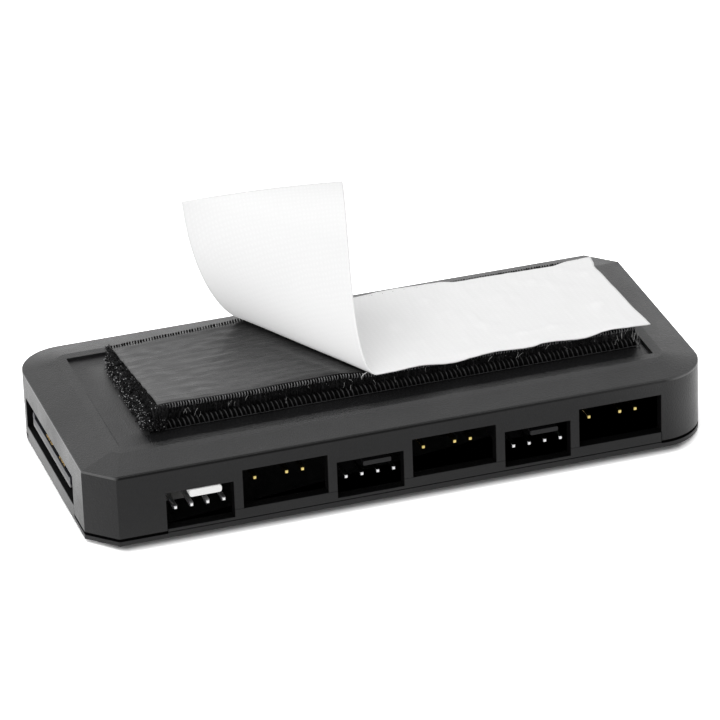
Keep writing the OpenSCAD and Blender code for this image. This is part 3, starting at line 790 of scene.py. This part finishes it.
# One band: the first faces are its bulk in near-black painted shade, the others its yarns
def bandPiece(name, points, faces, bulk, finish, replaced):
    marks = [int(k >= bulk) for k in range(len(faces))]
    return meshPiece(name, points, faces, ["dark", finish], (replaced,), marks)


def buildHookBand():
    rand = random.Random(3)
    points, faces = [], []
    slab(points, faces, "hook", tape["left"], tape["right"], flat(tape["floor"] + 0.01),
         flat(tape["hookTop"] + 0.25))
    bulk = len(faces)
    start, end = span = (tape["left"] + tape["fuzzyEnd"], tape["right"])
    profile = ribs["hookProfile"]
    ribRow(points, faces, rand, span, nearSide, profile, lambda x, y, z: z, ribs["hookNear"])
    # the woven edge that the yarns' lower ends share
    strand = ribs["baseStrand"]
    steps = int((end - start) / strand["step"])
    selvage = [(start + (end - start) * k / steps, strand["y"] + rand.uniform(-0.02, 0.02),
                strand["z"] + rand.uniform(-0.015, 0.015)) for k in range(steps + 1)]
    addStrand(points, faces, selvage, [strand["radius"]] * len(selvage), 5)
    inner = [(y + ribs["farInset"], z) for y, z in profile]
    ribRow(points, faces, rand, span, farSide, inner, lambda x, y, z: z, ribs["hookFar"])
    return bandPiece("hookBand", points, faces, bulk, "weave", "hook_tape")


def buildLoopBand():
    rand = random.Random(5)
    points, faces = [], []
    left, right, top = tape["loopLeft"], tape["loopRight"], tape["bandTop"]
    slab(points, faces, "loop", left, right, lifted(tape["loopBottom"] + 0.12),
         lifted(top - 0.03))

    def aboveBand(x, y, level):
        return top + level + liftAt(x, y)

    # the far ribs come before the bulk count, so they take the near-black painted shade too
    ribRow(points, faces, rand, (left + 0.1, right), farSide, ribs["loopFarProfile"], aboveBand,
           ribs["loopFar"])
    bulk = len(faces)
    ribRow(points, faces, rand, (left + 0.75, right), nearSide, ribs["loopProfile"], aboveBand,
           ribs["loopNear"])
    return bandPiece("loopBand", points, faces, bulk, "selvage", "loop_tape")


buildHookBand()
buildLoopBand()
print("woven bands built")

# Both piles: number of fibres at the near left corner, where roots stand, and the cut tips
pile = {"corner": 420, "cornerOut": -0.35, "cornerCrowd": 1.4, "cornerBand": (-0.2, 0.35),
        "cornerPast": 0.6, "edgeBand": 0.7, "endInset": 0.35, "endBand": 0.6,
        "rightBand": 0.5, "rightOut": 0.7, "litRight": 34, "radiusSpread": (0.7, 1.1),
        "tipLength": (0.08, 0.16), "tipFlare": (1.3, 1.6)}
# Each pile: fibres per millimetre of each side, their radius, and how they stand or hang
hookPile = {"near": 21, "far": 9, "end": 95, "right": 26, "radius": 0.055, "lean": 0.35,
            "wobble": 0.06, "reach": (0.05, 0.4), "otherReach": (0.1, 0.6),
            "endReach": 1.45, "endReachFall": 0.32, "endReachSpread": 0.5,
            "endStarts": 2.7, "cornerStarts": 1.7, "rise": (0.55, 1.05),
            "endRise": (-0.1, 0.5), "cornerRise": (-0.1, 1.1)}
loopPile = {"near": 13, "far": 6, "end": 40, "right": 18, "radius": 0.035,
            "endRaise": 0.75, "drop": (0.5, 1.1), "dropByLift": 0.6,
            "width": (0.15, 0.45), "reach": (0.05, 0.45), "endReach": (0.15, 0.9)}
# shares of fibres given the painted-light finish, and of fibres with a painted glint on the cut
# tip
shares = {"hook": (0.15, 0.02), "hookEnd": (0.5, 0.30), "endFade": 0.09,
          "hookCorner": (0.5, 0.14), "paintedLight": (0.4, 0.08), "loop": (0.12, 0.01),
          "loopEnd": (0.12, 0.04)}


# Start places round the tape: (x, y, outward x, outward y)
def pileStarts(rand, counts):
    left, right, near, far = (tape[k] for k in ("left", "loopRight", "near", "far"))
    length, width = tape["right"] - left, far - near
    for _ in range(int(counts["near"] * length)):
        yield rand.uniform(left, right), near + rand.uniform(0.0, pile["edgeBand"]), 0, -1
    for _ in range(int(counts["far"] * length)):
        yield rand.uniform(left, right), far - rand.uniform(0.0, pile["edgeBand"]), 0, 1
    for _ in range(int(counts["end"] * width)):
        yield (left + pile["endInset"] + rand.uniform(0.0, pile["endBand"]),
               rand.uniform(near, far), -1, 0)
    for _ in range(pile["corner"]):
        past = tape["fuzzyEnd"] + pile["cornerPast"]
        yield (left + rand.random() ** pile["cornerCrowd"] * past,
               near - rand.uniform(*pile["cornerBand"]), pile["cornerOut"], -1)
    for _ in range(int(counts["right"] * width)):
        yield (right - rand.uniform(0.0, pile["rightBand"]), rand.uniform(near, far),
               pile["rightOut"], 0)


# One fibre with a short cut tip, which may carry a painted glint, and which may take the
# painted-light finish; gives the finish of each new face
def cutStrand(points, faces, path, rand, radius, litShare, paleShare):
    before = len(faces)
    lit = rand.random() < litShare
    glint = rand.random() < paleShare
    last, tail = Vector(path[-1]), Vector(path[-1]) - Vector(path[-2])
    if tail.length > 0:
        tail.normalize()
    path = path + [tuple(last + tail * rand.uniform(*pile["tipLength"]))]
    wide = radius * rand.uniform(*pile["radiusSpread"])
    flare = [wide * factor for factor in pile["tipFlare"]]
    addStrand(points, faces, path, [wide] * (len(path) - 2) + flare)
    count = len(faces) - before
    highlightTip = (count - 1, count - 3, count - 4, count - 5)
    return [2 if glint and n in highlightTip else int(lit) for n in range(count)]


def pilePiece(name, points, faces, marks):
    print("pile", name, len(faces))
    return meshPiece(name, points, faces, ["fibre", "paintedLitFibre", "paintedGlintEnd"], marks=marks)


def buildHookPile():
    rand = random.Random(11)
    points, faces, marks = [], [], []
    floor, fibre = tape["floor"], hookPile
    for x, y, ox, oy in pileStarts(rand, fibre):
        leftEnd, corner = ox == -1, ox == pile["cornerOut"]
        ceiling = tape["loopBottom"] + 0.2 + liftAt(x, y)
        start = tape["hookTop"] - 0.1
        if leftEnd or corner:
            starts = fibre["endStarts" if leftEnd else "cornerStarts"]
            start = floor + 0.06 + rand.random() * starts
        reach = rand.uniform(*fibre["reach"])
        if leftEnd:
            # longer fibres low on the end, shorter ones towards the far corner
            reach = fibre["endReach"] - fibre["endReachFall"] * (start - floor)
            reach = reach - fibre["endReachSpread"] * rand.random() ** 1.5
            reach *= min(1, 0.35 + max(0, tape["far"] - y) * 0.15)
        elif ox:
            reach = rand.uniform(*fibre["otherReach"])
        lean = rand.uniform(-fibre["lean"], fibre["lean"])
        top = start + (ceiling - start) * rand.uniform(*fibre["rise"])
        if leftEnd or corner:
            top = start + rand.uniform(*fibre["endRise" if leftEnd else "cornerRise"])
        leanX, leanY = (lean, lean * 0.3) if ox == 0 else (lean * 0.3, lean)
        path = []
        for n in range(5):
            s = n / 4
            out = reach * (math.sin(s * 1.5) if ox < 0 else math.sin(s * 2.6) - 0.1 * s)
            px = x + ox * out + leanX * s + fibre["wobble"] * rand.uniform(-1, 1)
            py = y + oy * out + leanY * s + fibre["wobble"] * rand.uniform(-1, 1)
            pz = start + (top - start) * math.sin(s * 1.9) / math.sin(1.9)
            path.append((px, py, max(pz, floor + 0.08)))
        lit, glint = shares["hook"]
        if leftEnd:
            lit, glint = shares["hookEnd"]
            glint -= shares["endFade"] * (start - floor)
        elif corner:
            lit, glint = shares["hookCorner"]
        elif ox > 0 or x > pile["litRight"]:
            lit, glint = shares["paintedLight"]
        marks += cutStrand(points, faces, path, rand, fibre["radius"], lit, glint)
    return pilePiece("hookPile", points, faces, marks)


def buildLoopPile():
    rand = random.Random(12)
    points, faces, marks = [], [], []
    fibre = loopPile
    for x, y, ox, oy in pileStarts(rand, fibre):
        x = max(x, tape["loopLeft"] + 0.1)
        lift = liftAt(x, y)
        top = tape["loopBottom"] + 0.25 + lift
        if ox < 0:
            top += rand.random() * fibre["endRaise"]
        least, most = fibre["drop"]
        drop = rand.uniform(least, most + max(lift, 0) * fibre["dropByLift"])
        wide = rand.uniform(*fibre["width"])
        reach = rand.uniform(*fibre["endReach" if ox else "reach"])
        turn = rand.uniform(0, math.pi)
        path = []
        for n in range(7):
            s = n / 6
            swing = wide * math.cos(math.pi * s)
            out = reach * math.sin(math.pi * s)
            pz = top - drop * math.sin(math.pi * s)
            path.append((x + ox * out + swing * math.cos(turn),
                         y + oy * out + swing * math.sin(turn) * 0.5,
                         max(pz, tape["floor"] + 0.3)))
        kind = "loopEnd" if ox < 0 else "paintedLight" if x > pile["litRight"] else "loop"
        marks += cutStrand(points, faces, path, rand, fibre["radius"], *shares[kind])
    return pilePiece("loopPile", points, faces, marks)


# Painted shade inside the pile: a near-black slab that closes the view between the fibres
def buildPileCore():
    points, faces = [], []
    slab(points, faces, "core", tape["left"], tape["loopRight"], flat(tape["hookTop"] + 0.2),
         lifted(tape["loopBottom"] + 0.15))
    return meshPiece("pileCore", points, faces, ["dark"])


buildHookPile()
buildLoopPile()
buildPileCore()
print("pile built")

hairs = {"count": 26, "radius": 0.022, "out": (0.25, 0.6), "heights": (13.6, 15.6),
         "step": (0.12, 0.3), "bend": 0.35, "rightCount": 9, "rightStep": 0.28,
         "rightX": (38.6, 42.0), "rightOut": (0.3, 0.6), "rightHeights": (13.7, 14.9),
         "rightRadii": [0.035, 0.035, 0.03, 0.03, 0.02],
         "bright": [(-3.3, -12.0, 15.7), (-3.35, -12.15, 16.2), (-3.1, -12.3, 16.65),
                    (-2.5, -12.35, 16.95)],
         "brightRadii": [0.075, 0.085, 0.08, 0.05]}


def buildHairs():
    rand = random.Random(21)
    points, faces = [], []
    addStrand(points, faces, hairs["bright"], hairs["brightRadii"], 6)
    for _ in range(hairs["count"]):
        x = rand.uniform(tape["left"] + 0.5, tape["right"])
        z = rand.uniform(*hairs["heights"])
        spot = Vector((x, tape["near"] - rand.uniform(*hairs["out"]), z))
        heading = Vector((rand.uniform(-0.6, 0.6), rand.uniform(-0.25, 0.1), 1)).normalized()
        bend = Vector((rand.uniform(-0.5, 0.5), 0, rand.uniform(-0.4, 0.1)))
        path = []
        for _ in range(6):
            path.append(tuple(spot))
            spot = spot + heading * rand.uniform(*hairs["step"])
            heading = (heading + bend * hairs["bend"]).normalized()
        addStrand(points, faces, path, [hairs["radius"] * rand.uniform(0.7, 1.3)] * 6)
    for _ in range(hairs["rightCount"]):
        spot = Vector((rand.uniform(*hairs["rightX"]),
                       tape["near"] - rand.uniform(*hairs["rightOut"]),
                       rand.uniform(*hairs["rightHeights"])))
        heading = Vector((rand.uniform(-0.25, 0.25), rand.uniform(-0.1, 0.1), 1)).normalized()
        path = [tuple(spot + heading * k * hairs["rightStep"]) for k in range(5)]
        addStrand(points, faces, path, hairs["rightRadii"])
    return meshPiece("strayHairs", points, faces, ["lintAndLitPatch"])


buildHairs()

film = {
    "left": -36.35, "right": 42.35, "near": -11.16, "far": 13.3, "top": 16.42, "thick": 0.22,
    "columns": 320, "rows": 90, "skew": 0.8,
    # each row: height, waves per millimetre, place in the noise
    "ragged": ((0.16, 0.7, 3.1), (0.07, 3.0, 7.7)), "rib": 0.05, "wander": (0.10, 0.5),
    "swell": (0.055, 0.45, 0.7), "swellDrop": 0.02, "rimDrop": (0.07, 0.6),
    # how many times the end, the long edges and their rims go into the length or width
    "endFade": 12, "edgeFade": 14, "rimFade": 26,
    # the shader's masks: directions give millimetres, pairs are spans
    "acrossFold": (-885.6, -464.5, 0), "foldFree": (9.0, 23.0), "freeCurve": 0.6,
    "acrossWedge": (595, -804, 0), "wedgeEdge": (-19.9, -18.4), "wedgeFade": (8.0, 22.0),
    "lowEdge": (-11.2, -7.8), "lowEnd": (-24.0, -12.0), "rimEdge": (12.65, 12.85),
    "leftEdge": (-35.4, -33.8),
}


def filmFinish():
    finish, tree, shader = blankMaterial("stickyFilm", IOR=1.5)
    wide = placeGroup(tree, "streaks", Width=0.9, Length=22.0)["Streak"]
    fine = placeGroup(tree, "streaks", Width=0.30, Length=2.6)["Streak"]
    relief = placeGroup(tree, "grain", Grain_Size=0.5, Patch_Size=6.0)["Height"]
    dust = placeGroup(tree, "dust", Spacing=1.4, Speck=0.045)["Mask"]
    streak = plus(times(wide, 0.6), times(fine, 0.4))
    tone = rise(streak, (0.40, 0.60))
    colour = colourMix(tone, (0.017, 0.017, 0.0175), (0.034, 0.034, 0.035))
    colour = colourMix(dust, colour, (0.08, 0.08, 0.08))
    x, y, _ = placeInMm(tree)
    # painted shade in the crevice beside the liner's fold
    fold = dotNode(objectPlace(tree), film["acrossFold"])
    crevice = mathNode("POWER", rise(fold, film["foldFree"]), film["freeCurve"])
    # painted shade on the wedge that the curl shades, from its far root outwards
    wedge = dotNode(objectPlace(tree), film["acrossWedge"])
    shaded = times(rise(wedge, film["wedgeEdge"]),
                   rangeNode(fold, film["wedgeFade"], 0.3, 0.0))
    # painted shade along the near edge, growing towards the right
    low = times(fall(y, film["lowEdge"]),
                rangeNode(x, film["lowEnd"], 0.0, 0.6))
    # painted shade: a dark broken line along the far edge, spaced like the selvage's yarns under
    # it
    comb = mathNode("SINE", times(x, math.pi / tape["ribPitch"]))
    rim = times(rise(y, film["rimEdge"]),
                rangeNode(comb, (-0.6, 0.2), 0.55, 1.0))
    # where the masks above fall, painted shade: a near-black colour and a dim reflection
    free = times(crevice, *(minus(1.0, mask) for mask in (shaded, low, rim)))
    # painted highlight along the film's left edge
    paintedEdgeHighlight = rangeNode(x, film["leftEdge"], 0.35, 0.0)
    colour = colourMix(paintedEdgeHighlight, colour, (0.075, 0.075, 0.076))
    shadeWith(shader, Base_Color=colourMix(free, (0.005, 0.005, 0.005), colour),
              Metallic=blend(free, 0.8, 0.0), Roughness=blend(tone, 0.14, 0.30))
    bumpInto(shader, relief, depth=0.012, under=bumpInto(shader, streak, depth=0.09))
    return finish


def buildFilm():
    points, faces = [], []
    columns, rows = film["columns"], film["rows"]
    for j in range(rows + 1):
        for i in range(columns + 1):
            u, v = i / columns, j / rows
            left = film["left"] + film["skew"] * (1 - v)
            x = left + (film["right"] - left) * u
            y = film["near"] + (film["far"] - film["near"]) * v
            ragged = sum(height * noise.noise(Vector((y * rate, place, 0)))
                         for height, rate, place in film["ragged"])
            end = film["endFade"]
            x += ragged * max(0, 1 - u * end) - ragged * 0.5 * max(0, end * u - (end - 1))
            rib = film["rib"] * math.cos(2 * math.pi * x / tape["ribPitch"])
            height, rate = film["wander"]
            wander = height * noise.noise(Vector((x * rate, 1.0, 2.0))) + rib
            edge = film["edgeFade"]
            y += wander * (max(0, 1 - v * edge) - max(0, edge * v - (edge - 1)))
            height, rateX, rateY = film["swell"]
            swell = height * noise.noise(Vector((x * rateX, y * rateY, 4.0)))
            rim = film["rimFade"]
            rim = max(0, 1 - v * rim, rim * v - (rim - 1))
            drop, ribDrop = film["rimDrop"]
            z = film["top"] + liftAt(x, y)
            z += (swell - film["swellDrop"]) * (1 if x < 0 else 0.4)
            z -= (drop + ribDrop * max(0, -rib)) * rim
            points.append((x, y, z))
    gridFaces(faces, 0, columns, rows, (0, 1, 2, 3))
    piece = meshPiece("stickyFilm", points, faces, ["film"], ("adhesive_film",))
    body = piece.modifiers.new("body", "SOLIDIFY")
    body.thickness, body.offset = film["thick"] * mm, -1


finishes["film"] = filmFinish()
buildFilm()
print("film built")

liner = {
    # control points of the curl's near and far edges, from the fold upwards
    "near": [(-1.0, -12.9, 16.45), (-5.3, -12.9, 16.45), (-2.0, -4.2, 39.95),
             (1.9, 11.4, 38.05)],
    "far": [(-14.9, 13.6, 16.45), (-16.4, 13.6, 16.45), (-22.7, 12.6, 22.65),
            (-21.5, 21.5, 34.25)],
    "right": 43.3, "level": 16.46, "raised": 0.07, "thick": 0.14, "flatColumns": 150,
    "curlColumns": 110, "rows": 72, "bow": 0.95, "ripple": 0.25, "nearInset": 0.65,
    "nearEdge": -11.3, "nearFall": 1.6, "bubble": 0.22, "crease": 0.12,
    "nearWave": [(-1, 0), (5.4, 0.2), (11.3, -0.62), (18.3, 0), (24, -0.3), (27, 0.05),
                 (32.7, -0.4), (37.5, 0.32), (41.2, 0.1), (43.3, 0)],
    "farWave": [(3.1, 0), (9.6, 0.6), (17.8, 0.25), (20.8, -0.7), (24.9, -0.65),
                (30.9, -0.85), (36.5, -1.0), (39.5, -0.2), (43.3, 0)],
    "rightWave": [(0, 0.6), (0.05, 0.5), (0.35, 0.0), (0.7, -0.25), (0.86, -0.5),
                  (0.93, -0.1), (1, 0.1)],
    "paintedGlowFrom": (16.7, 17.2), "paintedGlowTo": (17.5, 33.5), "paintedGlow": 0.18,
}


def curvePoint(controls, t):
    a, b, c, d = (Vector(p) for p in controls)
    s = 1 - t
    return a * s ** 3 + b * 3 * s * s * t + c * 3 * s * t * t + d * t ** 3


def linerFinish():
    finish, tree, shader = blankMaterial("linerPaper", IOR=1.45)
    sheetPlace = makeNode(tree, "TexCoord").outputs["UV"]
    place = objectPlace(tree)
    emboss = times(*(makeNode(tree, "TexWave", {"Vector": sheetPlace, "Scale": scale,
                                                "Distortion": 2.5, "Detail": 1.0},
                              bands_direction=way).outputs["Fac"]
                     for way, scale in (("X", 0.36), ("Y", 0.5))))
    clouds = noiseNode(place, scale=160, detail=4.0, rough=0.55)
    fibres = noiseNode(place, scale=3000, detail=3.0, rough=0.6)
    tone = rise(plus(times(emboss, 0.5), times(clouds, 0.5)), (0.2, 0.7))
    shadeWith(shader, Roughness=rangeNode(clouds, noiseSpan, 0.5, 0.62),
              Base_Color=colourMix(tone, (0.895, 0.895, 0.895), (0.92, 0.92, 0.92)))
    bumpInto(shader, fibres, depth=0.004, under=bumpInto(shader, emboss, depth=0.008))
    # painted light: the low part of the free curl glows white, standing in for light from behind
    height = placeInMm(tree)[2]
    paintedGlow = times(rise(height, liner["paintedGlowFrom"]),
                  rangeNode(height, liner["paintedGlowTo"], liner["paintedGlow"], 0.0))
    paintLightWith(shader, paintedGlow, white)
    return finish


# Point of the part that lies flat: u from its right end to the fold, v from near to far
def flatSpot(u, v, rootX, y):
    endX = liner["right"] + along(liner["rightWave"], v)
    x = endX + (rootX - endX) * u
    ease = 1 - u ** 8
    lift = along(liner["nearWave"], x)
    if lift < 0:
        lift *= limited((liner["nearEdge"] - y) / liner["nearFall"])
    else:
        lift *= max(0, 1 - v * 5) ** 2
    z = liner["level"] + lift * ease
    bubble = noise.noise(Vector((x * 0.22, y * 0.3, 9.0)))
    z += max(0, bubble) * liner["bubble"] * ease * min(1, (1 - v) * 6, v * 6)
    z += liner["crease"] * max(0, noise.noise(Vector((x * 0.6, y * 0.15, 2.0)))) * ease
    farShift = along(liner["farWave"], x) * max(0, 1 - (1 - v) * 7) ** 2
    inset = liner["nearInset"] * max(0, 1 - v * 4) * limited((x - 2) / 12)
    return Vector((x, y + farShift * ease + inset, z + liner["raised"]))


# Point of the curl: t from the fold to its free end, v from near to far
def curlSpot(t, v):
    a, b = curvePoint(liner["near"], t), curvePoint(liner["far"], t)
    spot = a + (b - a) * v
    spot.z += liner["raised"]
    ripple = liner["ripple"] * t * (1 - t) * 4 * noise.noise(Vector((v * 2.2, t * 2.0, 5.0)))
    tangent = (curvePoint(liner["near"], min(t + 0.01, 1))
               - curvePoint(liner["near"], max(t - 0.01, 0))).normalized()
    spot += (b - a).cross(tangent).normalized() * ripple
    spot += tangent * liner["bow"] * 4 * v * (1 - v) * max(0, 4 * t - 3) ** 2
    return spot


def buildLiner():
    points, faces, sheetPlaces = [], [], []
    lying, curl, rows = liner["flatColumns"], liner["curlColumns"], liner["rows"]
    nearRoot, farRoot = liner["near"][0], liner["far"][0]
    for j in range(rows + 1):
        v = j / rows
        rootX, y = (nearRoot[k] + (farRoot[k] - nearRoot[k]) * v for k in (0, 1))
        run, last = 0.0, None
        for i in range(lying + curl + 1):
            if i <= lying:
                spot = flatSpot(i / lying, v, rootX, y)
            else:
                spot = curlSpot((i - lying) / curl, v)
            points.append(tuple(spot))
            if last is not None:
                run += (spot - last).length
            last = spot
            sheetPlaces.append((run, y))
    gridFaces(faces, 0, lying + curl, rows, (0, 3, 2, 1))
    piece = meshPiece("peeledLiner", points, faces, ["liner"], ("release_liner",))
    places = piece.data.uv_layers.new(name="sheetPlace")
    for loop in piece.data.loops:
        places.data[loop.index].uv = sheetPlaces[loop.vertex_index]
    body = piece.modifiers.new("body", "SOLIDIFY")
    body.thickness, body.offset = liner["thick"] * mm, 0


finishes["liner"] = linerFinish()
buildLiner()
print("liner built")

# Floor, world and lamps
studio = {
    "white": 1.0, "fill": 0.70, "floor": 0.8, "floorNear": 0.36, "floorSeen": 2.25,
    "floorBehind": 0.88, "floorBefore": 0.17, "shade": (0.256, -0.608, 0.745),
    "shadeSpan": (0.76, 0.93), "shadeDepth": 0.97, "contactShift": (0.0, -1.4),
    "contactSpan": (-1.7, 0.1), "contactDepth": 1.62, "contactCurve": 1.6,
    "contactEnds": (44.5, 49.2), "nearSpan": (-35.0, 0.0), "behindSpan": (-30.0, 0.0),
    "besideSpan": (43.0, 54.0), "mottle": (0.995, 1.0), "reach": 5000,
}
# lamps in metres and watts
lamps = {
    "softKey": {"place": (-0.30, 0.10, 0.80), "size": 0.55, "power": 2.0},
    "frontFill": {"place": (-0.55, -0.75, 0.16), "size": 0.5, "power": 2.6},
}


def whiteSight(tree):
    # the camera's rays, and the rays that see the studio as reflected or refracted light
    path = makeNode(tree, "LightPath").outputs
    return path["Is Camera Ray"], mathNode("MAXIMUM", path["Is Glossy Ray"],
                                           path["Is Transmission Ray"])


def buildWorld():
    world = bpy.data.worlds.new("whiteStudio")
    bpy.context.scene.world = world
    world.use_nodes = True
    tree = world.node_tree
    tree.nodes.clear()
    seenDirectly, seen = whiteSight(tree)
    # the studio is dark above and behind the photographer
    heading = makeNode(tree, "TexCoord").outputs["Generated"]
    toward = dotNode(heading, Vector(studio["shade"]).normalized())
    dark = rangeNode(toward, studio["shadeSpan"], 0.0, studio["shadeDepth"])
    lit = plus(times(seen, minus(studio["white"], dark)),
               times(minus(1.0, seen), studio["fill"]))
    back = makeNode(tree, "Background", {
        "Color": white, "Strength": mathNode("MAXIMUM", lit, seenDirectly)})
    makeNode(tree, "OutputWorld", {0: back.outputs[0]})


def buildFloor():
    finish = bpy.data.materials.new("paleFloor")
    finish.use_nodes = True
    tree = finish.node_tree
    tree.nodes.remove(tree.nodes["Principled BSDF"])
    seenDirectly, seen = whiteSight(tree)
    x, y, _ = placeInMm(tree)
    clouds = noiseNode(objectPlace(tree), scale=40, detail=3.0)
    mottle = rangeNode(clouds, noiseSpan, *studio["mottle"])
    albedo = rangeNode(y, studio["nearSpan"], studio["floorNear"], studio["floor"])
    # painted contact shadow: the floor the camera sees is darkened near the hub's outline,
    # shifted to the front and fading towards both ends
    shiftX, shiftY = studio["contactShift"]
    contact = placeGroup(tree, "outline", Shift_X=shiftX, Shift_Y=shiftY)
    paintedShadow = mathNode("POWER", rise(contact["Gap"], studio["contactSpan"]),
                    studio["contactCurve"])
    paintedShadow = times(minus(1.0, paintedShadow), fall(absolute(x), studio["contactEnds"]))
    bright = minus(studio["floorSeen"], times(paintedShadow, studio["contactDepth"]))
    shade = times(blend(seenDirectly, albedo, bright), mottle)
    joined = makeNode(tree, "CombineColor", {k: shade for k in range(3)})
    matt = makeNode(tree, "BsdfDiffuse", {"Color": joined.outputs[0]})
    # the floor behind and beside the hub is lit more strongly than the floor before it
    levels = studio["floorBefore"], studio["floorBehind"]
    lit = mathNode("MAXIMUM", rangeNode(y, studio["behindSpan"], *levels),
                   rangeNode(x, studio["besideSpan"], *levels))
    glow = makeNode(tree, "Emission", {"Color": white, "Strength": times(seen, lit)})
    both = makeNode(tree, "AddShader", {0: matt.outputs[0], 1: glow.outputs[0]})
    tree.links.new(both.outputs[0], tree.nodes["Material Output"].inputs["Surface"])
    mesh = bpy.data.meshes.new("paleFloor")
    reach = studio["reach"] * mm
    mesh.from_pydata([(-reach, -reach, 0), (reach, -reach, 0), (reach, reach, 0),
                      (-reach, reach, 0)], [], [(0, 1, 2, 3)])
    mesh.materials.append(finish)
    floor = bpy.data.objects.new("paleFloor", mesh)
    bpy.context.scene.collection.objects.link(floor)


def buildLamp(name, values):
    data = bpy.data.lights.new(name, "AREA")
    data.shape, data.size, data.energy = "SQUARE", values["size"], values["power"]
    lamp = bpy.data.objects.new(name, data)
    place = Vector(values["place"])
    lamp.location = place
    lamp.rotation_euler = (-place).to_track_quat("-Z", "Y").to_euler()
    bpy.context.scene.collection.objects.link(lamp)


buildWorld()
buildFloor()
for lampName, values in lamps.items():
    buildLamp(lampName, values)
bpy.context.scene.view_settings.view_transform = "Standard"
print("studio built")
